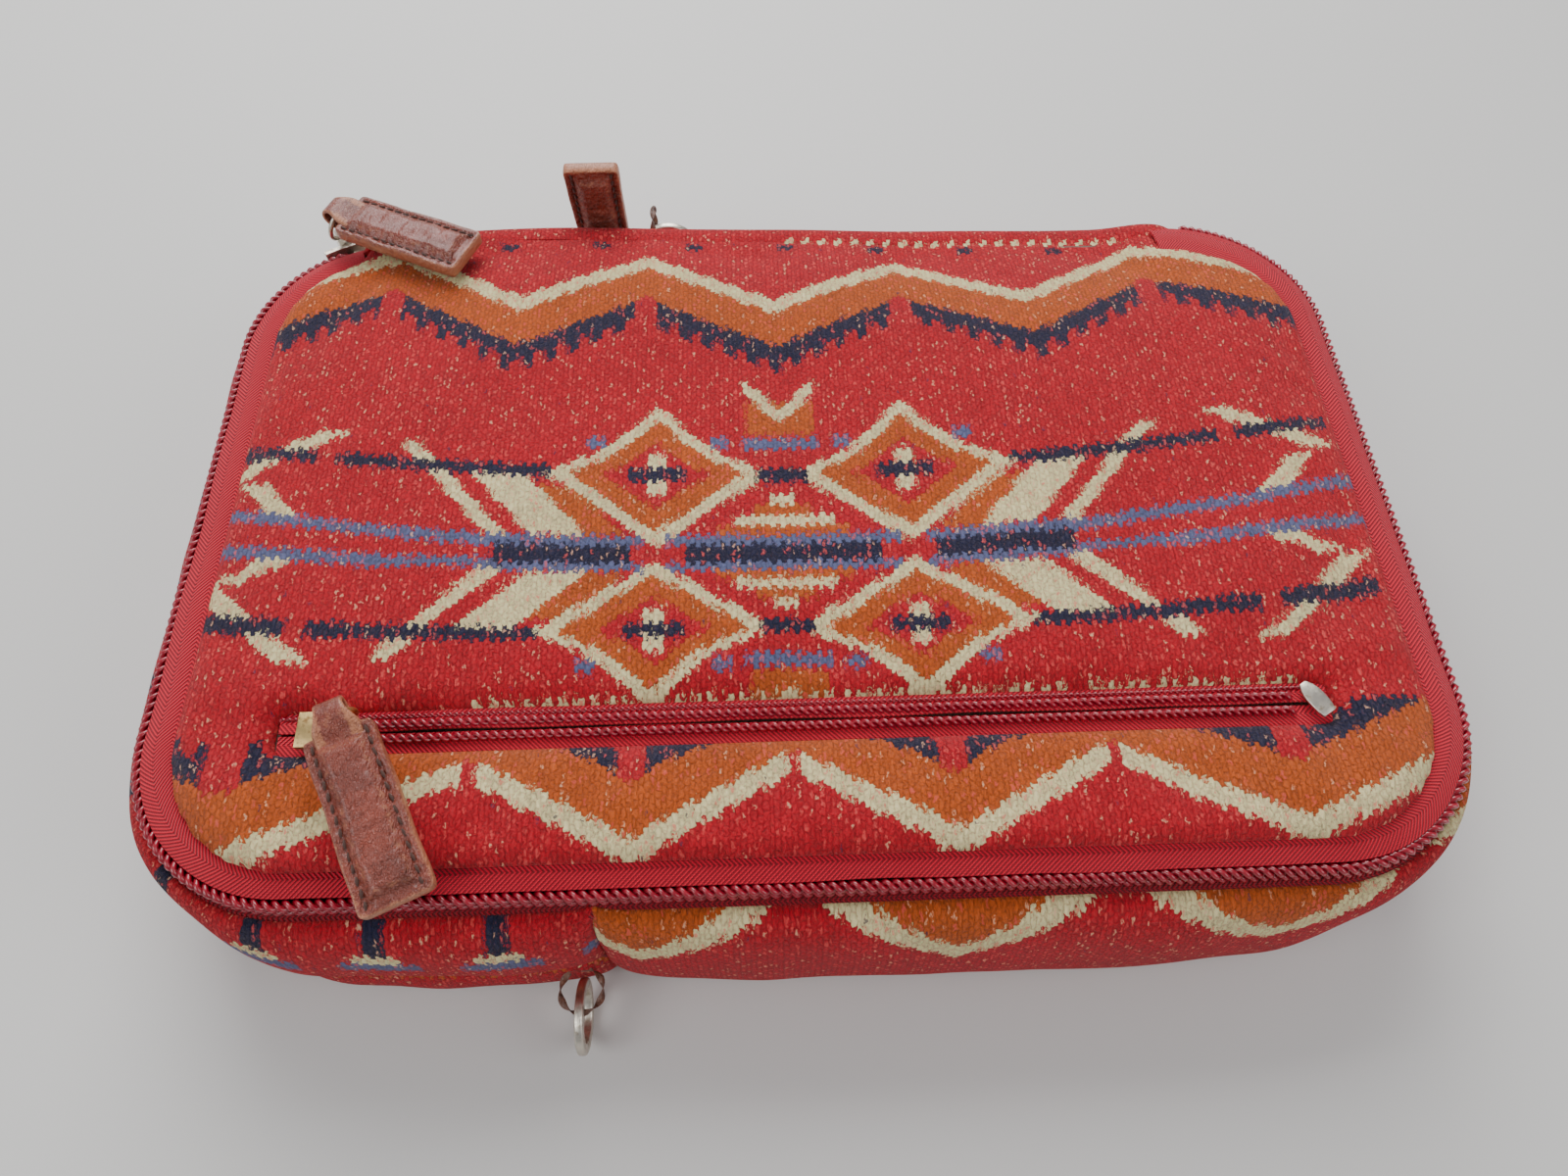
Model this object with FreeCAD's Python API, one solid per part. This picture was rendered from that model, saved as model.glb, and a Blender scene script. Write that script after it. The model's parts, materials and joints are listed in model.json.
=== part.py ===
"""Soft wet-shaving kit bag: wool jacquard case, three coil zips with leather pulls, two sewn-in rings.

Millimetres, +Z up. The bag lies on its back panel. The origin is the centre of the back panel, on
the surface it lies on. +X is to the right and +Y is away, towards the fabric hinge of the cover.
"""
import FreeCAD
import Part
import math
import os

V = FreeCAD.Vector
X_AXIS = V(1, 0, 0)
Y_AXIS = V(0, 1, 0)
Z_AXIS = V(0, 0, 1)

# --- driving dimensions of the case ---
BODY_W = 275.0          # across the gusset, left to right
BODY_D = 180.0          # across the gusset, near to far
BODY_R = 40.0           # corner radius of the gusset
WOOL = 2.2              # thickness of the wool jacquard
LINING = 0.7            # thickness of the lining cloth
FOAM = 2.0              # padding in the back panel
SEAM_X = -42.0          # where the zipped left gusset meets the plain right gusset
SKIN_GAP = 0.3          # clearance between soft pieces that move past each other

# --- heights ---
WALL_TOP = 40.5         # top of the gusset wall under the cover zip
FAR_WALL_TOP = 47.0     # the far wall runs on up to the fabric hinge
DIVIDER_Z = 30.0        # underside of the panel between the main and the front section
DIVIDER_T = 1.2
HINGE_Y = 84.0          # fold line of the cover
HINGE_Z = 52.0
COVER_FAR_Y = 80.0      # where the stiff part of the cover stops, short of the fold
COVER_TOP = 52.0
PANEL_INSET = 14.0      # edge of the cover's wool face, in from the gusset's outer face
PANEL_NEAR = 3.4        # the face reaches this much further on the near side
PANEL_HEM = 1.5         # width of the edge turned down onto the tape
FOAM_INSET = 19.0
COVER_LINING_INSET = 10.3
COVER_LINING_Z = 44.6
TALL = 99.0             # taller than the whole bag, for cutting blocks

# --- cover zip ---
COIL_R = 1.5            # one coil, taken as a round cord
COIL_INSET = 5.0        # from the gusset's outer face in to the coil's outer edge
COIL_GAP = 0.1          # between the two closed coils
TAPE_T = 0.8
TAPE_W = 11.6           # cover tape, from the coil in under the panel
SHELF_Z = 40.5          # body tape, where it turns in under the coil
SHELF_T = 1.0
TAPE_DROP = 5.0         # how far the body tape runs down inside the wall
FAR_LEFT_END = 116.0    # polar angle on the far left corner where the chain ends, degrees
FAR_RIGHT_END = 75.0
SPINE_LEFT = -104.0
SPINE_RIGHT = 97.0
TAPE_END = 9.0          # degrees of arc by which the tapes outrun the coils on the left
TAPE_END_RIGHT = 6.0

# --- gusset zip, in the left wall ---
GUSSET_ZIP_Z = 20.0
GUSSET_ZIP_H = 10.0     # open height between the two wool strips
GUSSET_TAPE_H = 2.0
GUSSET_COIL_IN = 0.2    # outer face of the coil, in from the wall's outer face
GUSSET_COIL_T = 1.8
GUSSET_SLIDER_X = -48.0
GUSSET_LUG_Z = 18.6

# --- pocket zip, in the cover ---
POCKET_Y = -52.0
POCKET_LEFT = -103.0
POCKET_RIGHT = 103.0
SLIT_HALF = 4.2
POCKET_TAPE_REACH = 9.0
POCKET_TAPE_T = 0.6
POCKET_COIL_W = 2.8
POCKET_COIL_H = 1.9
POCKET_BAG = (-104.0, -62.0, 104.0, 55.0)
POCKET_SLIDER_X = -93.0
POCKET_STOP_X = 98.0
STOP_L = 3.2            # crimped end stop, along the zip
STOP_HALF = 3.6
STOP_TOP = 52.2
SLIT_ROOM = 0.3         # the foam and the pocket bag stand back from the slit by this

# --- sliders ---
SLIDER_L = 11.0
PLATE_T = 1.3
INNER_PLATE_T = 1.0
CHANNEL = 0.15          # room between a plate and the coil
POST = 0.9
POST_L = 4.0
POCKET_PLATE_OVER = 0.7 # the pocket slider's plate reaches past its coils
MAIN_ANGLE = 114.0      # polar angle of the main slider on the far left corner, degrees
MAIN_FOOT = 4.8         # how far the main slider's bracket stands out
LUG_T = 1.4
LUG_R = 1.9
LUG_HOLE_R = 0.95
LUG_SINK = 0.4          # a lug is let into its plate
WIRE_R = 0.6

# --- leather pulls ---
PULL_L = 38.0
PULL_W = 14.0
PULL_T = 4.6
PULL_EDGE_R = 1.6
PULL_CORNER_R = 2.4
NECK_W = 4.4
NECK_T = 3.2
NECK_LOOP_R = 3.1
NECK_HOLE_R = 1.8
NECK_L = 7.0

# --- rings sewn into the side seams ---
RING_R = 7.6            # outer radius
RING_HOLE_R = 5.2
RING_T = 1.8
THONG_R = 0.6
THONG_GAP = 0.1
LOOP_R = 4.4
RING_EDGE_R = 0.5
FAR_RING_LEAN = math.radians(50)        # the far ring is caught to one side of its loop

# --- worked out ---
COIL_PATH_INSET = COIL_INSET + COIL_R
BODY_COIL_Z = SHELF_Z + SHELF_T + COIL_R + 0.02
COVER_COIL_Z = BODY_COIL_Z + 2 * COIL_R + COIL_GAP
CHAIN_Z = (BODY_COIL_Z + COVER_COIL_Z) / 2
COVER_TAPE_Z = COVER_COIL_Z + COIL_R + 0.02
PANEL_Z = COVER_TOP - WOOL - 0.4
POCKET_TAPE_Z = PANEL_Z - POCKET_TAPE_T
POCKET_LINING_Z = POCKET_TAPE_Z - 0.5
CORNER = V(-BODY_W / 2 + BODY_R, BODY_D / 2 - BODY_R, 0)
PATH_R = BODY_R - COIL_PATH_INSET
MAIN_HALF = math.degrees(SLIDER_L / 2 / PATH_R)
MAIN_Z0 = SHELF_Z + SHELF_T + 0.2
MAIN_Z1 = COVER_TAPE_Z - CHANNEL
LOOP_OUT = LOOP_R + THONG_R + 0.05      # a loop's centre, out from the wall
NEAR_LOOP = V(-48.0, -BODY_D / 2 - LOOP_OUT, 12.2)
FAR_LOOP = V(-34.5, BODY_D / 2 + LOOP_OUT, 40.5)
RING_DROP = RING_HOLE_R - THONG_R - THONG_GAP
NEAR_PIVOT = NEAR_LOOP + V(0, -LOOP_R, 0)
NEAR_RING = NEAR_PIVOT + V(0, 0, -RING_DROP)
FAR_PIVOT = FAR_LOOP + V(0, 0, -LOOP_R)
FAR_RING = FAR_PIVOT + V(math.sin(FAR_RING_LEAN), 0, -math.cos(FAR_RING_LEAN)) * RING_DROP


# --- helpers ---
def outline(inset, z):
    """Closed rounded rectangle, a given distance inside the gusset's outer face."""
    hw = BODY_W / 2 - inset
    hd = BODY_D / 2 - inset
    r = BODY_R - inset
    corners = [(hw - r, hd - r, 0), (r - hw, hd - r, 90), (r - hw, r - hd, 180), (hw - r, r - hd, 270)]
    edges = []
    ends = []
    for cx, cy, start in corners:
        circle = Part.Circle(V(cx, cy, z), Z_AXIS, r)
        arc = Part.ArcOfCircle(circle, math.radians(start), math.radians(start + 90))
        edges.append(arc.toShape())
        ends.append((arc.StartPoint, arc.EndPoint))
    for i in range(4):
        edges.append(Part.LineSegment(ends[i][1], ends[(i + 1) % 4][0]).toShape())
    return Part.Wire(Part.__sortEdges__(edges))


def slab(inset, z0, z1):
    """Solid rounded-rectangle plate."""
    return Part.Face(outline(inset, z0)).extrude(V(0, 0, z1 - z0))


def band(outer, inner, z0, z1):
    """Rounded-rectangle wall between two insets."""
    return slab(outer, z0, z1).cut(slab(inner, z0 - 1, z1 + 1))


def block(x0, y0, z0, x1, y1, z1):
    return Part.makeBox(x1 - x0, y1 - y0, z1 - z0, V(x0, y0, z0))


def left_of(x):
    """Everything left of a plane, as a cutting block."""
    return block(-BODY_W, -BODY_D, -1, x, BODY_D, TALL)


def right_of(x):
    return block(x, -BODY_D, -1, BODY_W, BODY_D, TALL)


def polar(angle, radius, z, centre=CORNER):
    a = math.radians(angle)
    return V(centre.x + radius * math.cos(a), centre.y + radius * math.sin(a), z)


def wedge(angle0, angle1, r0, r1, z0, z1, centre=CORNER):
    """Block that follows a corner arc, between two polar angles and two radii."""
    ring = Part.makeCylinder(r1, z1 - z0, V(centre.x, centre.y, z0), Z_AXIS, angle1 - angle0)
    ring = ring.cut(Part.makeCylinder(r0, z1 - z0 + 2, V(centre.x, centre.y, z0 - 1), Z_AXIS, 360))
    ring.rotate(V(centre.x, centre.y, 0), Z_AXIS, angle0)
    return ring


def zip_path(inset, z):
    """Open path of the cover zip: far right corner, right, near, left, far left corner."""
    hw = BODY_W / 2 - inset
    hd = BODY_D / 2 - inset
    r = BODY_R - inset
    stops = [(hw - r, hd - r, FAR_RIGHT_END, 0), (hw - r, r - hd, 0, -90)]
    stops += [(r - hw, r - hd, -90, -180), (r - hw, hd - r, -180, FAR_LEFT_END - 360)]
    edges = []
    last = None
    for cx, cy, start, end in stops:
        points = [polar(a, r, z, V(cx, cy, 0)) for a in (start, (start + end) / 2, end)]
        if last is not None:
            edges.append(Part.LineSegment(last, points[0]).toShape())
        edges.append(Part.Arc(*points).toShape())
        last = points[2]
    return Part.Wire(edges)


def cord_along(path, radius):
    """Round cord swept along a smooth path."""
    start = path.Edges[0].firstVertex().Point
    tangent = path.Edges[0].tangentAt(path.Edges[0].FirstParameter)
    profile = Part.Wire(Part.Circle(start, tangent, radius).toShape())
    return path.makePipeShell([profile], True, False)


def far_side_cut():
    """Removes the stretch of the zip tapes that the fabric hinge takes up."""
    right = polar(FAR_RIGHT_END - TAPE_END_RIGHT, PATH_R, 0, V(-CORNER.x, CORNER.y, 0))
    left = polar(FAR_LEFT_END - TAPE_END, PATH_R, 0)
    return block(left.x, CORNER.y, -1, right.x, BODY_D, TALL)


def place(shape, origin, along, across):
    """Moves a shape modelled about the origin so that its X runs along and its Y runs across."""
    up = along.cross(across)
    m = FreeCAD.Matrix(along.x, across.x, up.x, origin.x, along.y, across.y, up.y, origin.y,
                       along.z, across.z, up.z, origin.z, 0, 0, 0, 1)
    return shape.transformGeometry(m)


# --- the case: back, gusset and linings ---
def back_panel():
    return slab(WOOL, 0, WOOL)


def back_foam():
    return slab(WOOL + LINING + 1, WOOL, WOOL + FOAM)


def back_lining():
    return slab(WOOL + LINING, WOOL + FOAM, WOOL + FOAM + LINING)


def raised_far_wall():
    """The far wall above the zip's height, up to the fabric hinge."""
    return block(SPINE_LEFT, BODY_D / 2 - WOOL, WALL_TOP - 1, SPINE_RIGHT, BODY_D / 2, FAR_WALL_TOP)


def gusset_right():
    wall = band(0, WOOL, 0, WALL_TOP).fuse(raised_far_wall())
    return wall.cut(left_of(SEAM_X)).removeSplitter()


def gusset_lower():
    return band(0, WOOL, 0, GUSSET_ZIP_Z - GUSSET_ZIP_H / 2).cut(right_of(SEAM_X))


def gusset_upper():
    wall = band(0, WOOL, GUSSET_ZIP_Z + GUSSET_ZIP_H / 2, WALL_TOP).fuse(raised_far_wall())
    return wall.cut(right_of(SEAM_X)).removeSplitter()


def main_lining():
    """Lining of the main section, open where the gusset zip lets things in."""
    wall = band(WOOL, WOOL + LINING, WOOL, DIVIDER_Z)
    half = GUSSET_ZIP_H / 2 + 1
    slot = block(-BODY_W, -BODY_D, GUSSET_ZIP_Z - half, SEAM_X, BODY_D, GUSSET_ZIP_Z + half)
    return wall.cut(slot)


def front_lining():
    return band(WOOL, WOOL + LINING, DIVIDER_Z + DIVIDER_T, WALL_TOP)


def divider():
    return slab(WOOL, DIVIDER_Z, DIVIDER_Z + DIVIDER_T)


def spine():
    """Panel wool that folds over the far edge and carries the cover."""
    top = block(SPINE_LEFT, COVER_FAR_Y + SKIN_GAP, HINGE_Z - WOOL, SPINE_RIGHT, BODY_D / 2 - 1, HINGE_Z)
    drop = block(SPINE_LEFT, BODY_D / 2 - WOOL, FAR_WALL_TOP, SPINE_RIGHT, BODY_D / 2 - 1, HINGE_Z)
    return top.fuse(drop).removeSplitter()


# --- cover zip ---
def body_tape():
    inner = WOOL + LINING
    drop = band(inner, inner + TAPE_T, WALL_TOP - TAPE_DROP, SHELF_Z)
    shelf = band(inner, COIL_PATH_INSET, SHELF_Z, SHELF_Z + SHELF_T)
    return drop.fuse(shelf).cut(far_side_cut()).removeSplitter()


def cover_tape():
    outer = COIL_INSET + TAPE_T
    return band(outer, outer + TAPE_W, COVER_TAPE_Z, COVER_TAPE_Z + TAPE_T).cut(far_side_cut())


def body_coil():
    return cord_along(zip_path(COIL_PATH_INSET, BODY_COIL_Z), COIL_R)


def cover_coil():
    return cord_along(zip_path(COIL_PATH_INSET, COVER_COIL_Z), COIL_R)


# --- gusset zip ---
def gusset_strip(z0, z1, outer, inner, end_x):
    return band(outer, inner, z0, z1).cut(right_of(end_x))


def gusset_tape(side):
    edge = GUSSET_ZIP_Z + side * GUSSET_ZIP_H / 2
    z0, z1 = sorted((edge, edge - side * GUSSET_TAPE_H))
    return gusset_strip(z0, z1, GUSSET_COIL_IN + 1, GUSSET_COIL_IN + GUSSET_COIL_T, SEAM_X)


def gusset_coil(side):
    edge = GUSSET_ZIP_Z + side * (GUSSET_ZIP_H / 2 - GUSSET_TAPE_H)
    z0, z1 = sorted((edge, GUSSET_ZIP_Z + side * COIL_GAP))
    return gusset_strip(z0, z1, GUSSET_COIL_IN, GUSSET_COIL_IN + GUSSET_COIL_T, GUSSET_SLIDER_X + 1)


# --- cover ---
def cover_plate(inset, z0, z1):
    """Rounded plate of the cover, run on to the fold between the zip's two ends."""
    plate = slab(inset, z0, z1)
    tongue = block(SPINE_LEFT, 0, z0, SPINE_RIGHT, COVER_FAR_Y, z1)
    return plate.cut(block(-BODY_W, COVER_FAR_Y, -1, BODY_W, BODY_D, TALL)).fuse(tongue).removeSplitter()


def face_plate(inset, z0, z1):
    """The cover's outline for its wool face, which reaches further on the near side."""
    plate = cover_plate(inset, z0, z1)
    return plate.fuse(slab(inset, z0, z1).translated(V(0, -PANEL_NEAR, 0))).removeSplitter()


def pocket_slit(z0, z1, half):
    return block(POCKET_LEFT, POCKET_Y - half, z0, POCKET_RIGHT, POCKET_Y + half, z1)


def cover_panel():
    """Wool face of the cover, its edge turned down onto the tape."""
    face = face_plate(PANEL_INSET, PANEL_Z, COVER_TOP)
    hem = face_plate(PANEL_INSET, COVER_TAPE_Z + TAPE_T, PANEL_Z)
    hem = hem.cut(face_plate(PANEL_INSET + PANEL_HEM, COVER_TAPE_Z, PANEL_Z + 1))
    return face.fuse(hem).removeSplitter().cut(pocket_slit(PANEL_Z - 1, COVER_TOP + 1, SLIT_HALF))


def cover_foam():
    """Padding behind the face, hollowed under the slit so that the slider can pass."""
    foam = cover_plate(FOAM_INSET, COVER_LINING_Z + LINING, POCKET_LINING_Z)
    floor_z = COVER_LINING_Z + LINING + 1.1
    return foam.cut(pocket_slit(floor_z, POCKET_LINING_Z + 1, SLIT_HALF + SLIT_ROOM))


def cover_lining():
    return cover_plate(COVER_LINING_INSET, COVER_LINING_Z, COVER_LINING_Z + LINING)


def pocket_lining():
    x0, y0, x1, y1 = POCKET_BAG
    bag = block(x0, y0, POCKET_LINING_Z, x1, y1, POCKET_TAPE_Z)
    return bag.cut(pocket_slit(POCKET_LINING_Z - 1, POCKET_TAPE_Z + 1, SLIT_HALF + SLIT_ROOM))


def pocket_tape(side):
    inner = POCKET_Y + side * 0.6
    y0, y1 = sorted((inner, POCKET_Y + side * POCKET_TAPE_REACH))
    return block(POCKET_LEFT, y0, POCKET_TAPE_Z, POCKET_RIGHT, y1, PANEL_Z)


def pocket_coil(side):
    inner = POCKET_Y + side * COIL_GAP
    y0, y1 = sorted((inner, inner + side * POCKET_COIL_W))
    return block(POCKET_SLIDER_X + 1, y0, PANEL_Z, POCKET_STOP_X, y1, PANEL_Z + POCKET_COIL_H)


def pocket_end_stop():
    """Crimped metal stop across the right end of the pocket zip."""
    right = POCKET_STOP_X + STOP_L
    plate = block(POCKET_STOP_X, POCKET_Y - STOP_HALF, PANEL_Z, right, POCKET_Y + STOP_HALF, STOP_TOP)
    return plate.makeFillet(0.5, [e for e in plate.Edges if abs(e.Length - STOP_L) < 0.01])


# --- sliders ---
def lug(length):
    """Eye that carries the ring: a plate across the ring's wire, standing on the slider.

    Modelled with the eye's hole on the Y axis and the slider's face at z = -length.
    """
    foot = Part.makeBox(2 * LUG_R, LUG_T, length, V(-LUG_R, -LUG_T / 2, -length))
    eye = Part.makeCylinder(LUG_R, LUG_T, V(0, -LUG_T / 2, 0), Y_AXIS)
    hole = Part.makeCylinder(LUG_HOLE_R, LUG_T + 2, V(0, -LUG_T / 2 - 1, 0), Y_AXIS)
    return foot.fuse(eye).removeSplitter().cut(hole)


def wire_ring(big_r, lean):
    """Wire ring through the eye at the origin, leaning up from X by the given angle."""
    a = math.radians(lean)
    u = V(math.cos(a), 0, math.sin(a))
    normal = V(-math.sin(a), 0, math.cos(a))
    return Part.makeTorus(big_r, WIRE_R, u * big_r, normal)


def pull_tab(pitch):
    """Padded leather tab with a loop round the ring's wire at the origin, tipped by the given angle."""
    tip = PULL_L - NECK_LOOP_R
    body = Part.makeBox(tip - NECK_L, PULL_W, PULL_T, V(NECK_L, -PULL_W / 2, -PULL_T / 2))
    ends = [e for e in body.Edges if abs(e.Length - PULL_T) < 0.01 and e.CenterOfMass.x > NECK_L + 1]
    body = body.makeFillet(PULL_CORNER_R, ends)
    body = body.makeFillet(PULL_EDGE_R, [e for e in body.Edges if abs(e.CenterOfMass.z) > 1])
    neck = Part.makeBox(NECK_L + 2, NECK_W, NECK_T, V(0, -NECK_W / 2, -NECK_T / 2))
    loop = Part.makeCylinder(NECK_LOOP_R, NECK_W, V(0, -NECK_W / 2, 0), Y_AXIS)
    hole = Part.makeCylinder(NECK_HOLE_R, NECK_W + 2, V(0, -NECK_W / 2 - 1, 0), Y_AXIS)
    tab = body.fuse([neck, loop]).cut(hole)
    tab.rotate(V(0, 0, 0), Y_AXIS, -pitch)
    return tab


def frame_of(heading_deg):
    """A level direction and the one across it."""
    a = math.radians(heading_deg)
    along = V(math.cos(a), math.sin(a), 0)
    return along, Z_AXIS.cross(along)


EYE_OUT = 3.4           # how far an eye's centre stands out from the case
MAIN_EYE = polar(MAIN_ANGLE, BODY_R - COIL_INSET + EYE_OUT, 49.0)
POCKET_EYE = V(POCKET_SLIDER_X + 4.0, POCKET_Y + 0.6, 54.8)
GUSSET_EYE = V(GUSSET_SLIDER_X, BODY_D / 2 + EYE_OUT, GUSSET_LUG_Z)
MAIN_HEADING = -24.7
POCKET_HEADING = -66.0
MAIN_DIRS = frame_of(MAIN_HEADING)
POCKET_DIRS = frame_of(POCKET_HEADING)
GUSSET_DIRS = (Z_AXIS, X_AXIS)

# each set: the eye's centre, the way its pull lies, the ring's size and lean, the pull's pitch
SETS = {
    "main": (MAIN_EYE, MAIN_DIRS, 3.9, 76.0, 0.0),
    "pocket": (POCKET_EYE, POCKET_DIRS, 3.2, 78.0, -9.0),
    "gusset": (GUSSET_EYE, GUSSET_DIRS, 4.2, 15.0, -8.0),
}


def wire_end(name):
    """Where a set's pull hangs on its ring."""
    eye, (along, across), big_r, lean, _ = SETS[name]
    a = math.radians(lean)
    return eye + along * (2 * big_r * math.cos(a)) + along.cross(across) * (2 * big_r * math.sin(a))


def main_slider():
    """Two curved plates that ride the corner of the chain, joined by the post between the coils."""
    a0, a1 = MAIN_ANGLE - MAIN_HALF, MAIN_ANGLE + MAIN_HALF
    outer_r = PATH_R + COIL_R + CHANNEL
    inner_r = PATH_R - COIL_R - CHANNEL
    outer = wedge(a0, a1, outer_r, outer_r + PLATE_T, MAIN_Z0, MAIN_Z1)
    inner = wedge(a0, a1, inner_r - INNER_PLATE_T, inner_r, MAIN_Z0, MAIN_Z1)
    post = wedge(a0, FAR_LEFT_END - 3.5, inner_r - 0.5, outer_r + 0.5, CHAIN_Z - POST, CHAIN_Z + POST)
    eye = place(lug(2 * LUG_R), MAIN_EYE, *MAIN_DIRS)
    foot = wedge(MAIN_ANGLE - 3, MAIN_ANGLE + 3, outer_r, outer_r + MAIN_FOOT, MAIN_Z0, MAIN_EYE.z - LUG_R)
    return outer.fuse([inner, post, eye, foot]).removeSplitter()


def pocket_slider():
    """Plates over and under the chain, with the post in the gap between the tapes."""
    x0, x1 = POCKET_SLIDER_X - SLIDER_L / 2, POCKET_SLIDER_X + SLIDER_L / 2
    half = POCKET_COIL_W + COIL_GAP + POCKET_PLATE_OVER
    top_z = PANEL_Z + POCKET_COIL_H + CHANNEL
    low_z = POCKET_TAPE_Z - CHANNEL
    top = block(x0, POCKET_Y - half, top_z, x1, POCKET_Y + half, top_z + PLATE_T)
    low = block(x0, POCKET_Y - half, low_z - INNER_PLATE_T, x1, POCKET_Y + half, low_z)
    post = block(x0, POCKET_Y - POST / 2, low_z - 0.5, x0 + POST_L, POCKET_Y + POST / 2, top_z + 0.5)
    eye = place(lug(POCKET_EYE.z - top_z - LUG_SINK), POCKET_EYE, *POCKET_DIRS)
    return top.fuse([low, post, eye]).removeSplitter()


def gusset_slider():
    """Plates either side of the wall's zip, with the post between its coils."""
    x0, x1 = GUSSET_SLIDER_X - SLIDER_L / 2, GUSSET_SLIDER_X + SLIDER_L / 2
    y_out = BODY_D / 2 - GUSSET_COIL_IN + CHANNEL + 0.2
    y_in = BODY_D / 2 - GUSSET_COIL_IN - GUSSET_COIL_T - CHANNEL - 0.1
    half = GUSSET_ZIP_H / 2 - 1
    z0, z1 = GUSSET_ZIP_Z - half, GUSSET_ZIP_Z + half
    outer = block(x0, y_out, z0, x1, y_out + PLATE_T, z1)
    inner = block(x0, y_in - INNER_PLATE_T, z0, x1, y_in, z1)
    post = block(x1 - POST_L, y_in - 0.5, GUSSET_ZIP_Z - POST, x1, y_out + 0.5, GUSSET_ZIP_Z + POST)
    eye = place(lug(GUSSET_EYE.y - y_out - LUG_SINK), GUSSET_EYE, *GUSSET_DIRS)
    return outer.fuse([inner, post, eye]).removeSplitter()


def set_ring(name):
    """The wire ring of a slider, through its eye."""
    eye, dirs, big_r, lean, _ = SETS[name]
    return place(wire_ring(big_r, lean), eye, *dirs)


def set_pull(name):
    """The leather pull that hangs on a slider's ring."""
    dirs, pitch = SETS[name][1], SETS[name][4]
    return place(pull_tab(pitch), wire_end(name), *dirs)


# --- thong loops and rings at the seams ---
def thong_loop(centre, normal, away):
    """Round leather loop sewn into the seam, with its two ends run back to the wall."""
    loop = Part.makeTorus(LOOP_R, THONG_R, centre, normal)
    stem = Part.makeCylinder(2 * THONG_R, LOOP_OUT - LOOP_R + THONG_R, centre - away * LOOP_OUT, away)
    return loop.fuse(stem).removeSplitter()


def near_loop():
    return thong_loop(NEAR_LOOP, Z_AXIS, V(0, -1, 0))


def far_loop():
    return thong_loop(FAR_LOOP, X_AXIS, V(0, 1, 0))


def seam_ring(centre, axis):
    """Flat nickel ring."""
    base = centre - axis * (RING_T / 2)
    ring = Part.makeCylinder(RING_R, RING_T, base, axis)
    ring = ring.cut(Part.makeCylinder(RING_HOLE_R, RING_T + 2, base - axis, axis))
    return ring.makeFillet(RING_EDGE_R, ring.Edges[:])


def near_ring():
    return seam_ring(NEAR_RING, X_AXIS)


def far_ring():
    return seam_ring(FAR_RING, Y_AXIS)


def pieces():
    """Every node of the bag, by name."""
    made = {}
    for make in (back_panel, back_foam, back_lining, gusset_right, gusset_lower, gusset_upper,
                 main_lining, front_lining, divider, spine, body_tape, cover_tape, body_coil,
                 cover_coil, cover_panel, cover_foam, cover_lining, pocket_lining, pocket_end_stop,
                 main_slider, pocket_slider, gusset_slider, near_loop, far_loop, near_ring, far_ring):
        made[make.__name__] = make()
    for name in SETS:
        made[name + "_ring"] = set_ring(name)
        made[name + "_pull"] = set_pull(name)
    for side, word in ((-1, "lower"), (1, "upper")):
        made["gusset_tape_" + word] = gusset_tape(side)
        made["gusset_coil_" + word] = gusset_coil(side)
    for side, word in ((-1, "near"), (1, "far")):
        made["pocket_tape_" + word] = pocket_tape(side)
        made["pocket_coil_" + word] = pocket_coil(side)
    return made


os.makedirs("parts", exist_ok=True)
for node, shape in sorted(pieces().items()):
    box = shape.BoundBox
    print(f"{node:20s} solids {len(shape.Solids)} closed {shape.isValid()} volume {shape.Volume:10.1f}"
          f"  x {box.XMin:7.1f} {box.XMax:7.1f}  y {box.YMin:7.1f} {box.YMax:7.1f}"
          f"  z {box.ZMin:6.1f} {box.ZMax:6.1f}")
    shape.exportStep(f"parts/{node}.step")
for name in SETS:
    print(name, "eye", SETS[name][0], "pull pivot", wire_end(name), "axis", SETS[name][1][1])
print("near pivot", NEAR_PIVOT, "far pivot", FAR_PIVOT, "corner", CORNER)
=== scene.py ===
# %% [markdown]
# # A shaving kit bag in wool jacquard
# The bag lies on its back. Its case is a padded wool tray, its cover is a wool face sewn to a
# herringbone zip tape, and three sliders carry stitched leather pulls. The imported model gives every
# place and every moving body, so each soft or small piece below is modelled on top of that frame.

# %% Load the frame
import json
import math

import bmesh
import bpy
from mathutils import Matrix, Vector, noise

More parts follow.
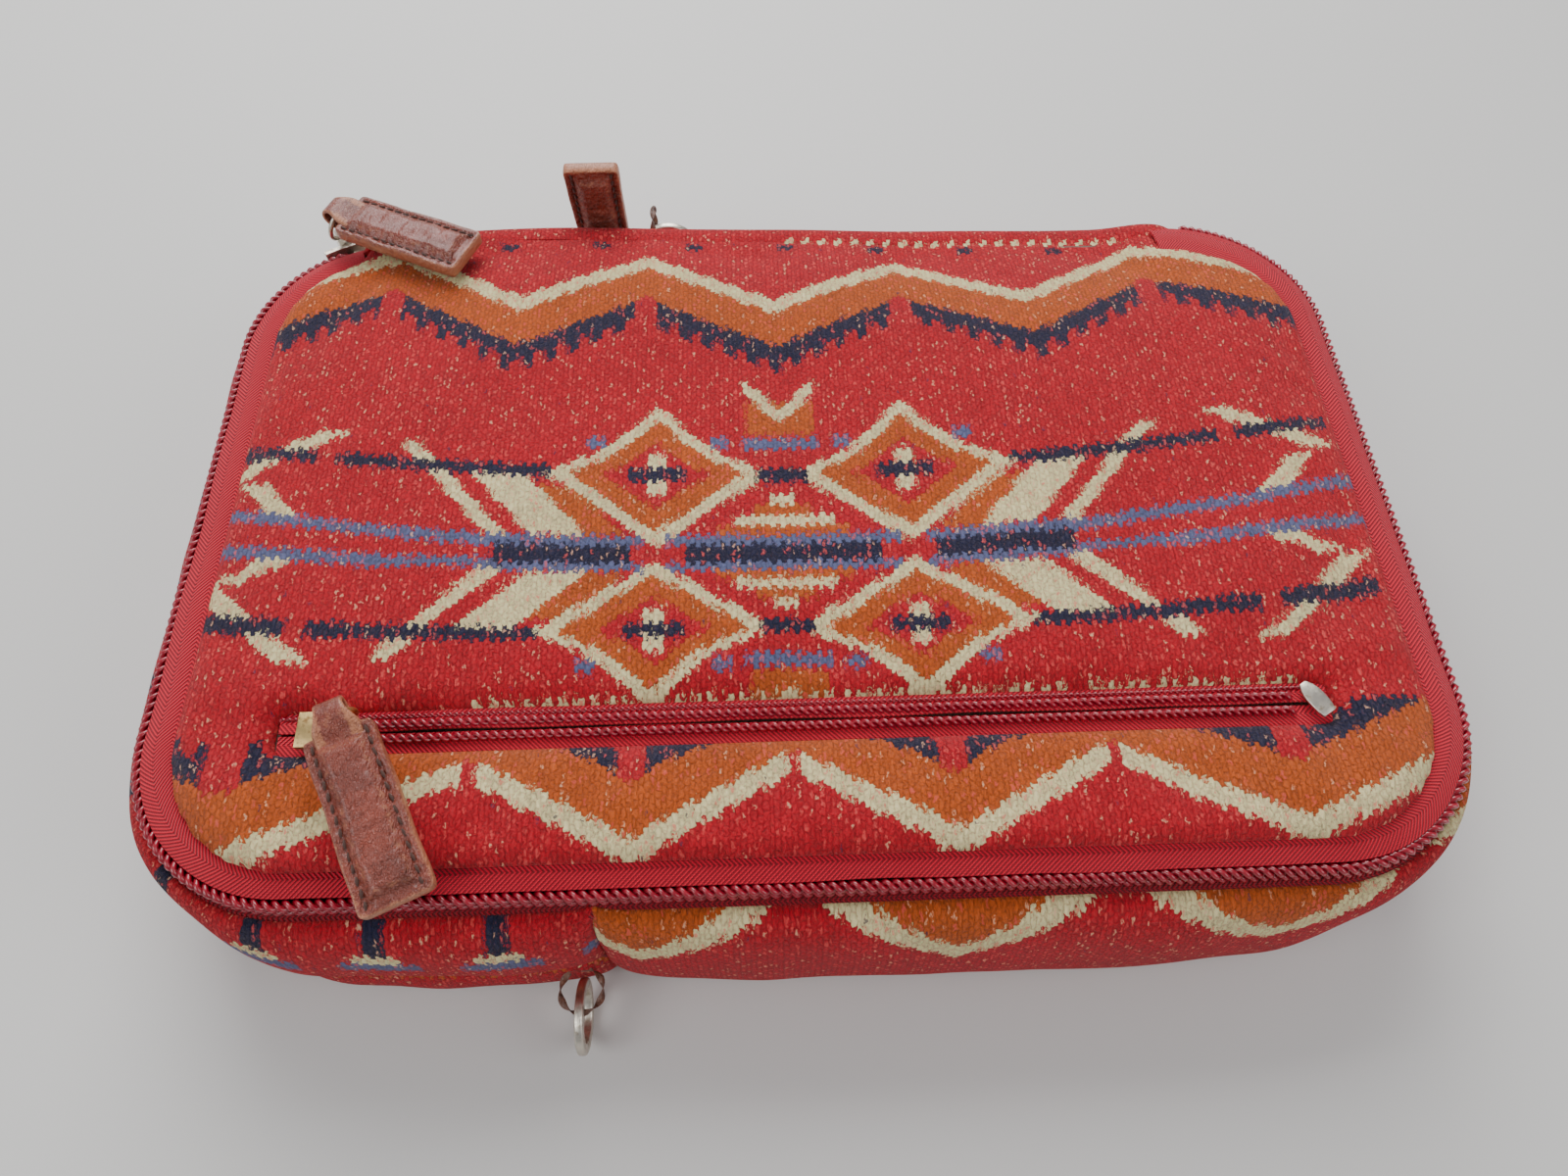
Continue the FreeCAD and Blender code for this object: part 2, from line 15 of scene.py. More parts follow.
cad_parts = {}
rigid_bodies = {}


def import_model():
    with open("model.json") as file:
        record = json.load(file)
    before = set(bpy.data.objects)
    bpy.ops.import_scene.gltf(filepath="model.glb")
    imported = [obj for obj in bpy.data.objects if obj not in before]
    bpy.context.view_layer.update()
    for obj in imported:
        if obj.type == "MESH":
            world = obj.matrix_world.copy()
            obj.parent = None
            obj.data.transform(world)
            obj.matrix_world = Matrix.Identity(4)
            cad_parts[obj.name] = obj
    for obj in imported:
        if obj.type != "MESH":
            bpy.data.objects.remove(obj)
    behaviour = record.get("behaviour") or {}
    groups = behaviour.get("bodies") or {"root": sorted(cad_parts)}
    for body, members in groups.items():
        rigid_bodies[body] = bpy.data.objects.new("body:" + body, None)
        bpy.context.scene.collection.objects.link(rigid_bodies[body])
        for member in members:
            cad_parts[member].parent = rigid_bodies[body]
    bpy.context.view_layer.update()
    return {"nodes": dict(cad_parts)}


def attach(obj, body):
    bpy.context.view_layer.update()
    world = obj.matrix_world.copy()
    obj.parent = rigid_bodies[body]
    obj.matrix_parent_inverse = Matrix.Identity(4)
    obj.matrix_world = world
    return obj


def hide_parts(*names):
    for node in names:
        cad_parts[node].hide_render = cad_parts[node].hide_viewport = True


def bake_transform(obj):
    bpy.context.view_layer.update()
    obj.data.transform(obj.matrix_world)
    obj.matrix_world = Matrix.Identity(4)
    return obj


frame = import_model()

MM = 0.001

# %% [markdown]
# ## Camera, light and floor
# The bag is seen from above its near edge. One wide soft light behind it gives the sheen on leather
# and coil, and two weaker ones fill the near wall. Everything stands on a plain pale floor.

# %% Camera
CAMERA_AT = Vector((-8.8, -131.5, 247.0)) * MM
TURN, TILT, ROLL = (math.radians(a) for a in (2.58, 61.04, 0.6))
ahead = Vector((math.sin(TURN) * math.cos(TILT), math.cos(TURN) * math.cos(TILT), -math.sin(TILT)))
level = Vector((math.cos(TURN), -math.sin(TURN), 0))
upright = level.cross(ahead)
right = level * math.cos(ROLL) + upright * math.sin(ROLL)
up = upright * math.cos(ROLL) - level * math.sin(ROLL)
bpy.ops.object.camera_add(location=CAMERA_AT)
camera = bpy.context.object
camera.matrix_world = Matrix.Translation(CAMERA_AT) @ Matrix((right, up, -ahead)).transposed().to_4x4()
camera.data.lens = 24.75
camera.data.clip_start = 0.01
bpy.context.scene.camera = camera
print("camera lens, mm:", camera.data.lens)


# %% Light and floor
def soft_light(name, at, aim, size, power):
    """A square area light that looks at a point."""
    bpy.ops.object.light_add(type="AREA", location=at)
    lamp = bpy.context.object
    lamp.name = name
    lamp.data.size = size
    lamp.data.energy = power
    lamp.rotation_mode = "QUATERNION"
    lamp.rotation_quaternion = (Vector(aim) - Vector(at)).to_track_quat("-Z", "Y")


soft_light("light_behind", (-0.12, 0.75, 0.75), (0, 0, 0.03), 0.8, 15)
soft_light("light_left", (-0.7, -0.45, 0.8), (0, 0, 0.02), 0.6, 5)
soft_light("light_right", (0.75, -0.35, 0.6), (0, 0, 0.02), 0.6, 3.5)

world = bpy.data.worlds.new("room")
bpy.context.scene.world = world
world.use_nodes = True
world.node_tree.nodes["Background"].inputs["Color"].default_value = (0.9, 0.93, 1.0, 1)
world.node_tree.nodes["Background"].inputs["Strength"].default_value = 0.33

bpy.ops.mesh.primitive_plane_add(size=6)
floor = bpy.context.object
floor.name = "floor"
floor_paint = bpy.data.materials.new("floor_paint")
floor_paint.use_nodes = True
floor_paint.node_tree.nodes["Principled BSDF"].inputs["Base Color"].default_value = (0.62, 0.61, 0.59, 1)
floor_paint.node_tree.nodes["Principled BSDF"].inputs["Roughness"].default_value = 0.6
floor.data.materials.append(floor_paint)
print("lights and floor set")

# %% [markdown]
# ## Small helpers
# Operators act on whatever is selected, so each helper first deselects everything. A finished piece
# keeps its object at the origin, with its place in its mesh.


# %% Helpers for objects
def clear():
    """Leaves nothing selected, in object mode."""
    if bpy.context.mode != "OBJECT":
        bpy.ops.object.mode_set(mode="OBJECT")
    bpy.ops.object.select_all(action="DESELECT")


def only(piece):
    """Selects one piece and makes it active."""
    clear()
    piece.select_set(True)
    bpy.context.view_layer.objects.active = piece


def named(name):
    piece = bpy.context.object
    piece.name = name
    piece.data.name = name
    return piece


def apply_modifiers(piece):
    only(piece)
    for modifier in list(piece.modifiers):
        bpy.ops.object.modifier_apply(modifier=modifier.name)
    return piece


def outward(piece):
    """Merges doubles and points every face outwards."""
    only(piece)
    bpy.ops.object.mode_set(mode="EDIT")
    bpy.ops.mesh.select_all(action="SELECT")
    bpy.ops.mesh.remove_doubles(threshold=0.00002)
    bpy.ops.mesh.normals_make_consistent(inside=False)
    bpy.ops.object.mode_set(mode="OBJECT")
    return piece


def smooth(piece, angle=40):
    only(piece)
    bpy.ops.object.shade_smooth_by_angle(angle=math.radians(angle))
    return piece


def thicken(piece, thickness, offset=-1.0):
    modifier = piece.modifiers.new("wall", "SOLIDIFY")
    modifier.thickness = thickness
    modifier.offset = offset
    return apply_modifiers(piece)


def subdivide(piece, levels=1):
    modifier = piece.modifiers.new("round", "SUBSURF")
    modifier.levels = levels
    modifier.render_levels = levels
    return apply_modifiers(piece)


def keep_sharp(piece, chosen):
    """Creases the edges between the chosen points, so that subdividing leaves them in place."""
    crease = piece.data.attributes.new("crease_edge", "FLOAT", "EDGE")
    marked = [chosen(v) for v in piece.data.vertices]
    values = []
    for edge in piece.data.edges:
        a, b = edge.vertices
        values.append(float(marked[a] and marked[b]))
    crease.data.foreach_set("value", values)


def joined(name, pieces):
    only(pieces[0])
    for piece in pieces:
        piece.select_set(True)
    bpy.ops.object.join()
    return named(name)


def put(piece, matrix):
    """Moves a mesh by a matrix; the object stays at the origin."""
    piece.data.transform(matrix)
    piece.data.update()
    return piece


def copy_of(piece, matrix):
    twin = piece.copy()
    twin.data = piece.data.copy()
    bpy.context.collection.objects.link(twin)
    return put(twin, matrix)


def discard(piece):
    clear()
    bpy.data.objects.remove(piece, do_unlink=True)


def triangles(piece):
    piece.data.calc_loop_triangles()
    return len(piece.data.loop_triangles)


print("helpers ready")

# %% [markdown]
# ## Numbers that know where they are
# A woven pattern is arithmetic on the place of each stitch. Wiring dozens of Math nodes by hand hides
# that arithmetic, so this small class lets a node's output be added, multiplied and compared as if it
# were a number, and every operation adds one Math node to the material.


# %% Arithmetic on node outputs
class Yarn:
    """One output of a node tree that can be used in sums and comparisons."""

    def __init__(self, tree, out):
        self.tree, self.out = tree, out

    def op(self, kind, *others, flip=False):
        node = self.tree.nodes.new("ShaderNodeMath")
        node.operation = kind
        values = (*others, self) if flip else (self, *others)
        for slot, value in zip(node.inputs, values):
            if isinstance(value, Yarn):
                self.tree.links.new(value.out, slot)
            else:
                slot.default_value = value
        return Yarn(self.tree, node.outputs[0])

    def __add__(self, other):
        return self.op("ADD", other)

    def __sub__(self, other):
        return self.op("SUBTRACT", other)

    def __rsub__(self, other):
        return self.op("SUBTRACT", other, flip=True)

    def __mul__(self, other):
        return self.op("MULTIPLY", other)

    def __truediv__(self, other):
        return self.op("DIVIDE", other)

    def __lt__(self, other):
        return self.op("LESS_THAN", other)

    def __gt__(self, other):
        return self.op("GREATER_THAN", other)

    def __abs__(self):
        return self.op("ABSOLUTE")

    def __or__(self, other):
        return self.op("MAXIMUM", other)

    def __and__(self, other):
        return self.op("MULTIPLY", other)

    def at_most(self, other):
        return self.op("MINIMUM", other)

    def floor(self):
        return self.op("FLOOR")

    def fraction(self):
        return self.op("FRACT")

    def repeat(self, length):
        return self.op("FLOORED_MODULO", length)

    def within(self, low, high):
        return (self > low) & (self < high)

    def ramp(self, low, high):
        """0 below one value, 1 above another, smooth between."""
        node = self.tree.nodes.new("ShaderNodeMapRange")
        node.interpolation_type = "SMOOTHSTEP"
        self.tree.links.new(self.out, node.inputs["Value"])
        node.inputs["From Min"].default_value = low
        node.inputs["From Max"].default_value = high
        return Yarn(self.tree, node.outputs["Result"])


def colour(r, g, b):
    """A display colour from 0 to 255 as the linear value that a shader takes."""
    lin = [c / 255 / 12.92 if c <= 10 else ((c / 255 + 0.055) / 1.055) ** 2.4 for c in (r, g, b)]
    return (*lin, 1)


class Finish:
    """A material with its main shader and short ways to the nodes that every finish here uses."""

    def __init__(self, name, roughness=0.8, **constants):
        self.material = bpy.data.materials.new(name)
        self.material.use_nodes = True
        self.tree = self.material.node_tree
        self.shader = self.tree.nodes["Principled BSDF"]
        self.shader.inputs["Roughness"].default_value = roughness
        for key, value in constants.items():
            self.shader.inputs[key.replace("_", " ")].default_value = value

    def node(self, kind, **settings):
        made = self.tree.nodes.new(kind)
        for key, value in settings.items():
            setattr(made, key, value)
        return made

    def link(self, source, target):
        self.tree.links.new(source.out if isinstance(source, Yarn) else source, target)

    def place(self, kind="Object"):
        """Across, along and height of each point, in millimetres."""
        parts = self.node("ShaderNodeSeparateXYZ")
        self.link(self.node("ShaderNodeTexCoord").outputs[kind], parts.inputs[0])
        return [Yarn(self.tree, out) * 1000 for out in parts.outputs]

    def vector(self, x, y=0.0, z=0.0):
        made = self.node("ShaderNodeCombineXYZ")
        for value, slot in zip((x, y, z), made.inputs):
            if isinstance(value, Yarn):
                self.link(value, slot)
            else:
                slot.default_value = value
        return made.outputs[0]

    def cloud(self, where, scale, detail=2.0, roughness=0.5):
        """Soft noise from 0 to 1; where is a vector in millimetres."""
        made = self.node("ShaderNodeTexNoise")
        self.link(where, made.inputs["Vector"])
        made.inputs["Scale"].default_value = scale
        made.inputs["Detail"].default_value = detail
        made.inputs["Roughness"].default_value = roughness
        return Yarn(self.tree, made.outputs["Fac"])

    def chance(self, where):
        made = self.node("ShaderNodeTexWhiteNoise")
        self.link(where, made.inputs["Vector"])
        return Yarn(self.tree, made.outputs["Value"])

    def paint(self, under, over, mask):
        """Lays one colour over another where the mask is 1."""
        made = self.node("ShaderNodeMix", data_type="RGBA")
        if isinstance(mask, Yarn):
            self.link(mask, made.inputs["Factor"])
        else:
            made.inputs["Factor"].default_value = mask
        for value, slot in ((under, made.inputs[6]), (over, made.inputs[7])):
            if isinstance(value, tuple):
                slot.default_value = value
            else:
                self.link(value, slot)
        return made.outputs[2]

    def shade(self, base, factor):
        """A colour made lighter or darker by a factor that varies over the piece."""
        made = self.node("ShaderNodeVectorMath", operation="SCALE")
        if isinstance(base, tuple):
            made.inputs[0].default_value = base[:3]
        else:
            self.link(base, made.inputs[0])
        self.link(factor, made.inputs["Scale"])
        return made.outputs[0]

    def relief(self, height, distance, strength=1.0, under=None):
        """Bump from a height between 0 and 1, on top of another bump if there is one."""
        made = self.node("ShaderNodeBump")
        made.inputs["Strength"].default_value = strength
        made.inputs["Distance"].default_value = distance
        self.link(height, made.inputs["Height"])
        if under is not None:
            self.link(under, made.inputs["Normal"])
        return made.outputs[0]

    def finish(self, base, normal=None, rough=None):
        self.link(base, self.shader.inputs["Base Color"])
        if normal is not None:
            self.link(normal, self.shader.inputs["Normal"])
        if rough is not None:
            self.link(rough, self.shader.inputs["Roughness"])
        return self.material


print("finishes can be written as sums")

# %% [markdown]
# ## The wool
# The jacquard is woven stitch by stitch: each stitch is about 1 mm wide and 1.75 mm long and shows
# one yarn. So the place of a point is first rounded to its stitch, and the pattern is then worked out
# there, shifted a little by the noise that stands for fibres. Some stitches at random show pink, pale
# or navy flecks. Fine noise adds fuzz to the light and to the relief.

# %% Yarn colours and the stitch grid
RED = colour(204, 16, 38)
ORANGE = colour(206, 92, 30)
CREAM = colour(255, 236, 176)
NAVY = colour(30, 36, 66)
BLUE = colour(100, 108, 150)
PINK = colour(232, 84, 78)
FLECK = colour(250, 190, 150)        # the cream yarn where it only shows through
FIBRE = colour(226, 120, 92)        # loose fibres that catch the light
STITCH_W, STITCH_L = 1.05, 1.75     # mm
MOTIF_X, STRIPE_Y = -3.5, -17.0     # where the motif is centred on the cover, mm
PERIOD = 61.0                       # one zigzag, mm


def stitches(f, x, y):
    """The middle of each point's stitch, a random number for it, and the height of its yarn."""
    wander = f.vector(x, y)
    xs = x + (f.cloud(wander, 0.9, 2) - 0.5) * 1.7
    ys = y + (f.cloud(f.vector(y, x, 7.0), 0.7, 2) - 0.5) * 2.2
    column = (xs / STITCH_W).floor()
    shift = column.repeat(2.0) * 0.5
    row = (ys / STITCH_L + shift).floor()
    pick = f.chance(f.vector(column, row, 3.0))
    across = abs((xs / STITCH_W).fraction() - 0.5) * 2
    along = abs((ys / STITCH_L + shift).fraction() - 0.5) * 2
    height = (1.0 - across * across) * (1.0 - along * along * along)
    return (column + 0.5) * STITCH_W, (row + 0.5 - shift) * STITCH_L, pick, height


def zigzag(x):
    """0 in the valleys of the zigzag and half a period at its peaks."""
    return abs((x - (MOTIF_X - PERIOD / 2)).repeat(PERIOD) - PERIOD / 2)


def zigzag_bands(f, cloth, x, d, broken):
    """Navy border with teeth, orange, and a cream line; d is the distance from the centre stripe."""
    t = zigzag(x)
    navy_low = t * 0.5 + 51.5
    tooth = ((x / 5.2).fraction() < 0.5) * 3.2
    gap = t > (PERIOD / 2 - 2.6)
    cream_low = t * 0.53 + 67
    cloth = f.paint(cloth, ORANGE, d.within(navy_low + 3, cream_low))
    cloth = f.paint(cloth, RED, gap & d.within(navy_low - 3, navy_low + 6))
    cloth = f.paint(cloth, NAVY, d.within(navy_low - tooth, navy_low + 5.0) & (1.0 - gap))
    line = d.within(cream_low, cream_low + 4.6)
    line = line & (1.0 - (broken & (t < 1.1)))
    return f.paint(cloth, CREAM, line)


def cover_pattern(f, x, y):
    """Centre stripe, four diamonds with their side bands, and zigzag bands near and far."""
    spread = (x - MOTIF_X) / 115
    bow = spread * spread * 9.5 * y.ramp(-50, -12)
    yw = y - bow
    near = y < -52.0
    X = abs(x - MOTIF_X)
    d0 = abs(yw - STRIPE_Y) * ((y.within(-52.0, -17.0)) * 0.22 + 1.0)
    centre = d0 < 46.0
    d = d0 + near * 25
    cloth = f.paint(RED, RED, 0.0)

    # side bands between the diamonds and the ends
    slope = (d0 - 6) * 0.93 + 42.5
    cloth = f.paint(cloth, CREAM, X.within(slope, slope + 12) & d0.within(5, 19.5))
    cloth = f.paint(cloth, ORANGE, X.within(slope - 8, slope) & d0.within(5, 17))
    cloth = f.paint(cloth, CREAM, X.within(slope + 17.5, slope + 21.8) & d0.within(4, 27))
    outer = 117.5 - (d0 - 16) * 1.63
    cloth = f.paint(cloth, CREAM, X.within(outer - 3.2, outer + 3.2) & d0.within(14, 28))
    outer = (d0 - 3) * 1.2 + 103
    cloth = f.paint(cloth, CREAM, X.within(outer - 3.4, outer + 3.4) & d0.within(4, 13))
    cloth = f.paint(cloth, NAVY, d0.within(19.4, 22.4) & (X.within(50, 97) | X.within(101, 123)))

    # diamonds
    xd = abs(X - 27)
    dd = abs(d0 - 20.5)
    m = xd / 24.5 + dd / 18.5
    blunt = (xd / 24.5 + dd / 12).at_most(xd / 18 + dd / 18.5)
    inner = d0 < 20.5
    m = m * inner + blunt * (1.0 - inner)
    for size, yarn in ((1.0, CREAM), (0.8, ORANGE), (0.48, RED)):
        cloth = f.paint(cloth, yarn, (m < size) & centre)
    cloth = f.paint(cloth, CREAM, (xd < 2) & (dd < 5.5))
    cloth = f.paint(cloth, NAVY, (xd < 6.2) & (dd < 1.7))
    dot = (abs(xd - 13.5) < 2) & (abs(d0 - 29) < 1.5)
    cloth = f.paint(cloth, BLUE, dot)

    # centre column
    vee = X * 1.1 + 36
    for wide, low, high, yarn in (
        (7.5, 31, 40, ORANGE), (8.5, 27, 30, BLUE), (5.5, 18, 21.6, NAVY), (2.5, 12.2, 14.8, CREAM),
        (6, 9.4, 12.4, ORANGE), (10.5, 7, 9.4, CREAM), (14, 4.7, 7, ORANGE),
    ):
        cloth = f.paint(cloth, yarn, (X < wide) & d0.within(low, high))
    cloth = f.paint(cloth, CREAM, (X < 8) & d0.within(vee - 2, vee + 2) & (1.0 - near))

    # centre stripe
    middle = X < 61
    broken = X.within(20.5, 32)
    cloth = f.paint(cloth, BLUE, middle & (d0 < 4.6) & (1.0 - (xd < 2.5)))
    cloth = f.paint(cloth, NAVY, middle & (d0 < 2.3) & (1.0 - broken))
    cloth = f.paint(cloth, RED, broken & (d0 < 2.3) & (xd > 2.5))
    cloth = f.paint(cloth, BLUE, (X > 61) & (abs(d0 - (X - 61) * 0.03 - 2.8) < 1.3))

    # cream floats along the pocket slit
    float_row = y.within(-48.6, -46.6) & ((x / 3.3).fraction() < 0.62) & x.within(-66.0, 97.0)
    cloth = f.paint(cloth, CREAM, float_row & (f.cloud(f.vector(x, 3.0), 0.12) > 0.4))

    # zigzag bands, the row of dots beyond them
    eased = x + near * ((x * -1.0 - 64.0) | 0.0) * 0.34 - near * ((x - 70.0) | 0.0) * 0.2
    cloth = zigzag_bands(f, cloth, eased, d, near)
    dots = abs((x + 57.5).repeat(23.0) - 11.5) < 2.1
    cloth = f.paint(cloth, NAVY, dots & y.within(75.5, 78) & (X < 90))
    dashes = ((x / 4.2).fraction() < 0.55) & (x > 0.0) & (X < 92)
    return f.paint(cloth, CREAM, y.within(79.2, 80.8) & dashes)


def wool(name, where, pattern):
    """Jacquard cloth: where gives a point's place on the cloth in mm, pattern its yarn."""
    f = Finish(name, roughness=0.92, Sheen_Weight=0.22, Sheen_Roughness=0.4, Specular_IOR_Level=0.2)
    f.shader.inputs["Sheen Tint"].default_value = (1.0, 0.75, 0.7, 1)
    x, y = where(f)
    xq, yq, pick, height = stitches(f, x, y)
    fibres = f.cloud(f.vector(x, y * 0.6, z=2.0), 3.2, 5, 0.75)
    wisps = f.cloud(f.vector(x * 0.8, y * 0.5, z=9.0), 1.6, 6, 0.8)
    cloth = pattern(f, xq + (fibres - 0.5) * 3.0, yq + (wisps - 0.5) * 3.0)
    tuft = height * 0.6 + (fibres - 0.5) * 1.6
    cloth = f.paint(cloth, PINK, tuft.ramp(0.35, 0.6) * (pick > 0.8) * 0.7)
    cloth = f.paint(cloth, FLECK, tuft.ramp(0.46, 0.62) * (pick < 0.12) * 0.75)
    cloth = f.paint(cloth, NAVY, tuft.ramp(0.42, 0.6) * pick.within(0.12, 0.128) * 0.8)
    cloth = f.paint(cloth, FIBRE, wisps.ramp(0.56, 0.78) * 0.5)
    patches = f.cloud(f.vector(x, y), 0.035, 3)
    light = ((pick * 7.0).fraction() - 0.5) * 0.26 + fibres * 1.7 + patches * 0.4 + 0.2
    # painted shade: each stitch is darker towards its edges, in the hollows between the yarns
    light = light * (height.ramp(-0.2, 0.7) * 0.36 + 0.64)
    coarse = f.relief(height, 0.0005, 0.8)
    fuzz = f.relief(fibres, 0.0011, 1.0, under=coarse)
    return f.finish(f.shade(cloth, light), fuzz)


def over_the_cover(f):
    """Along the cover, and on down the fold behind it."""
    x, y, z = f.place()
    return x, y + (y > 83.0) * (52.5 - z)


wool_cover = wool("wool_cover", over_the_cover, cover_pattern)
print("nodes in the cover's wool:", len(wool_cover.node_tree.nodes))


# %% The wool of the gussets
def gusset_pattern(f, x, d):
    """The near band's zigzag, carried on down the wall."""
    cloth = f.paint(RED, RED, 0.0)
    return zigzag_bands(f, cloth, x, d, d > 0.0)


def end_pattern(f, x, z):
    """The left strip, cut from a plainer part of the cloth: navy bars above cream and blue dashes."""
    cloth = f.paint(RED, RED, 0.0)
    bars = abs((x - 9.3).repeat(23.0) - 11.5)
    cloth = f.paint(cloth, NAVY, (bars < 2.1) & (z > 35.5))
    cloth = f.paint(cloth, BLUE, (bars < 7.5) & z.within(29.6, 33.0))
    cloth = f.paint(cloth, CREAM, (bars < 4.6) & z.within(33.0, 35.2))
    cloth = f.paint(cloth, ORANGE, (bars < 9.5) & z.within(13.0, 20.0))
    return f.paint(cloth, CREAM, (bars > 9.5) & z.within(14.0, 17.0))


def along_the_strip(f):
    u, v, _ = f.place("UV")
    return u, v


RIGHT_ENDS = -42.8                  # x where the right strip starts and ends, 0.8 mm past the seams
WALL_FOOT = 116.0                   # how far the pattern has run from the centre stripe at height 0, mm


def round_the_right(f):
    u, v = along_the_strip(f)
    return u + RIGHT_ENDS, WALL_FOOT - v


wool_right = wool("wool_right", round_the_right, gusset_pattern)
wool_left = wool("wool_left", along_the_strip, end_pattern)
print("wool finishes made")

# %% [markdown]
# ## Tape, coil, leather, metal and lining
# The zip tape is a herringbone: two twills that lean towards each other. The coil is glossy nylon. The
# leather is waxed and rubbed pale where it bends. Nickel and brass carry fine scratches and dull
# patches. Each finish gets its detail from sums on the place, and its gloss from the shader itself.


# %% Herringbone tape
def tape_finish(name, base, where):
    f = Finish(name, roughness=0.75, Sheen_Weight=0.1, Specular_IOR_Level=0.3)
    u, v = where(f)
    chevron = abs(v.repeat(7.0) - 3.5)
    twill = ((u + chevron) / 0.95).fraction()
    rib = (1.0 - abs(twill - 0.5) * 2).ramp(0.1, 0.8)
    thread = (1.0 - abs((v / 0.42).fraction() - 0.5) * 2)
    middle = chevron.ramp(0.0, 0.35)
    fuzz = f.cloud(f.vector(u, v), 3.0, 3, 0.7)
    # painted shade: the grooves between the twill's ribs and between its threads are darker
    light = rib * 0.75 + thread * 0.12 + fuzz * 0.5 + middle * 0.15 + 0.06
    normal = f.relief(rib + thread * 0.3, 0.0004, 1.0)
    return f.finish(f.shade(base, light), normal)


tape_red = tape_finish("tape_red", colour(205, 12, 44), along_the_strip)
# the same red tape with painted shade, for the tape under the cover's coil and the tapes set into the wall
tape_in_shade = tape_finish("tape_in_shade", colour(150, 10, 30), along_the_strip)


# %% Nylon coil
def coil_finish(name, base):
    f = Finish(name, roughness=0.25, Coat_Weight=0.6, Coat_Roughness=0.15)
    x, y, z = f.place()
    dull = f.cloud(f.vector(x, y, z), 0.4, 3)
    return f.finish(f.shade(base, dull * 0.9 + 0.5), None, dull * 0.25 + 0.2)


coil_red = coil_finish("coil_red", colour(150, 6, 34))


# %% Leather
def leather_finish(name, base, worn):
    f = Finish(name, roughness=0.4, Coat_Weight=0.45, Coat_Roughness=0.28)
    x, y, z = f.place()
    at = f.vector(x, y, z)
    cells = f.node("ShaderNodeTexVoronoi", feature="DISTANCE_TO_EDGE")
    f.link(at, cells.inputs["Vector"])
    cells.inputs["Scale"].default_value = 1.7
    grain = Yarn(f.tree, cells.outputs["Distance"]).ramp(0.0, 0.3)
    crease = f.cloud(f.vector(x, y * 0.35, z), 0.9, 4, 0.6)
    stain = f.cloud(at, 0.16, 3)
    rub = f.node("ShaderNodeAttribute", attribute_name="rub")
    edge = Yarn(f.tree, rub.outputs["Fac"])
    scuff = (edge * 0.9 + f.cloud(at, 0.8, 4, 0.7) - 0.72).ramp(0.0, 0.45)
    skin = f.shade(base, stain * 1.2 + grain * 0.15 + 0.3)
    skin = f.paint(skin, worn, scuff * 0.75)
    normal = f.relief(crease, 0.0018, 0.8, under=f.relief(grain, 0.00014, 0.7))
    return f.finish(skin, normal, scuff * 0.3 + crease * 0.25 + 0.14)


leather_brown = leather_finish("leather_brown", colour(134, 60, 44), colour(196, 128, 90))
leather_lace = leather_finish("leather_lace", colour(96, 58, 44), colour(150, 104, 80))


# %% Metals, thread and lining
def metal_finish(name, base, tarnish, roughness):
    f = Finish(name, roughness=roughness, Metallic=1.0)
    x, y, z = f.place()
    at = f.vector(x, y, z)
    patch = f.cloud(at, 0.55, 4, 0.65)
    scratch = f.cloud(f.vector(x * 6, y * 0.7, z * 0.7), 1.5, 2)
    skin = f.paint(base, tarnish, patch.ramp(0.5, 0.72) * 0.8)
    return f.finish(skin, f.relief(scratch, 0.00008, 0.6), patch * 0.4 + roughness - 0.12)


nickel_worn = metal_finish("nickel_worn", colour(212, 204, 190), colour(150, 128, 98), 0.28)
brass_worn = metal_finish("brass_worn", colour(206, 176, 120), colour(122, 86, 52), 0.3)


def thread_finish(name, base):
    f = Finish(name, roughness=0.85, Sheen_Weight=0.2)
    x, y, z = f.place()
    ply = ((x + y + z) / 0.45).fraction()
    # painted shade in the grooves between the plies of the twist
    return f.finish(f.shade(base, ply * 0.35 + f.cloud(f.vector(x, y, z), 1.5) * 0.5 + 0.5),
                    f.relief(ply, 0.0001, 0.6))


thread_brown = thread_finish("thread_brown", colour(74, 44, 34))


def lining_finish(name, base):
    f = Finish(name, roughness=0.7, Sheen_Weight=0.2)
    x, y, z = f.place()
    warp = 1.0 - abs(((x + z * 0.5) / 0.5).fraction() - 0.5) * 2
    weft = 1.0 - abs(((y + z) / 0.5).fraction() - 0.5) * 2
    cloth = warp | weft
    drape = f.cloud(f.vector(x, y, z), 0.05, 3)
    normal = f.relief(drape, 0.004, 0.5, under=f.relief(cloth, 0.0001, 0.7))
    # painted shade: the gaps between warp and weft are darker, and the hollows of the drape are darker than
    # its crests
    return f.finish(f.shade(base, cloth * 0.35 + drape * 0.5 + 0.4), normal)


lining_brown = lining_finish("lining_brown", colour(112, 84, 70))
foam_felt = lining_finish("foam_felt", colour(214, 208, 196))
print("finishes:", [m.name for m in bpy.data.materials])


# %% Finishes for the frame's own nodes
def dress(node, material):
    """Gives a frame node a finish; its mesh is not touched."""
    shown = frame["nodes"][node]
    shown.data.materials.clear()
    shown.data.materials.append(material)
    for owner in (shown, *shown.children):
        for seat in owner.material_slots:
            seat.material = material


dress("pocket_lining", lining_brown)
dress("back_foam", foam_felt)
print("frame nodes dressed: pocket_lining, back_foam")

# %% [markdown]
# ## Strips round the case
# Gusset, tapes and coils all run round the same rounded rectangle. Each is modelled straight, with its
# section drawn across a grid, and a Curve modifier then wraps it round a path of straight runs and
# quarter turns. Its UV map keeps millimetres along and across the strip, so the weave follows it.

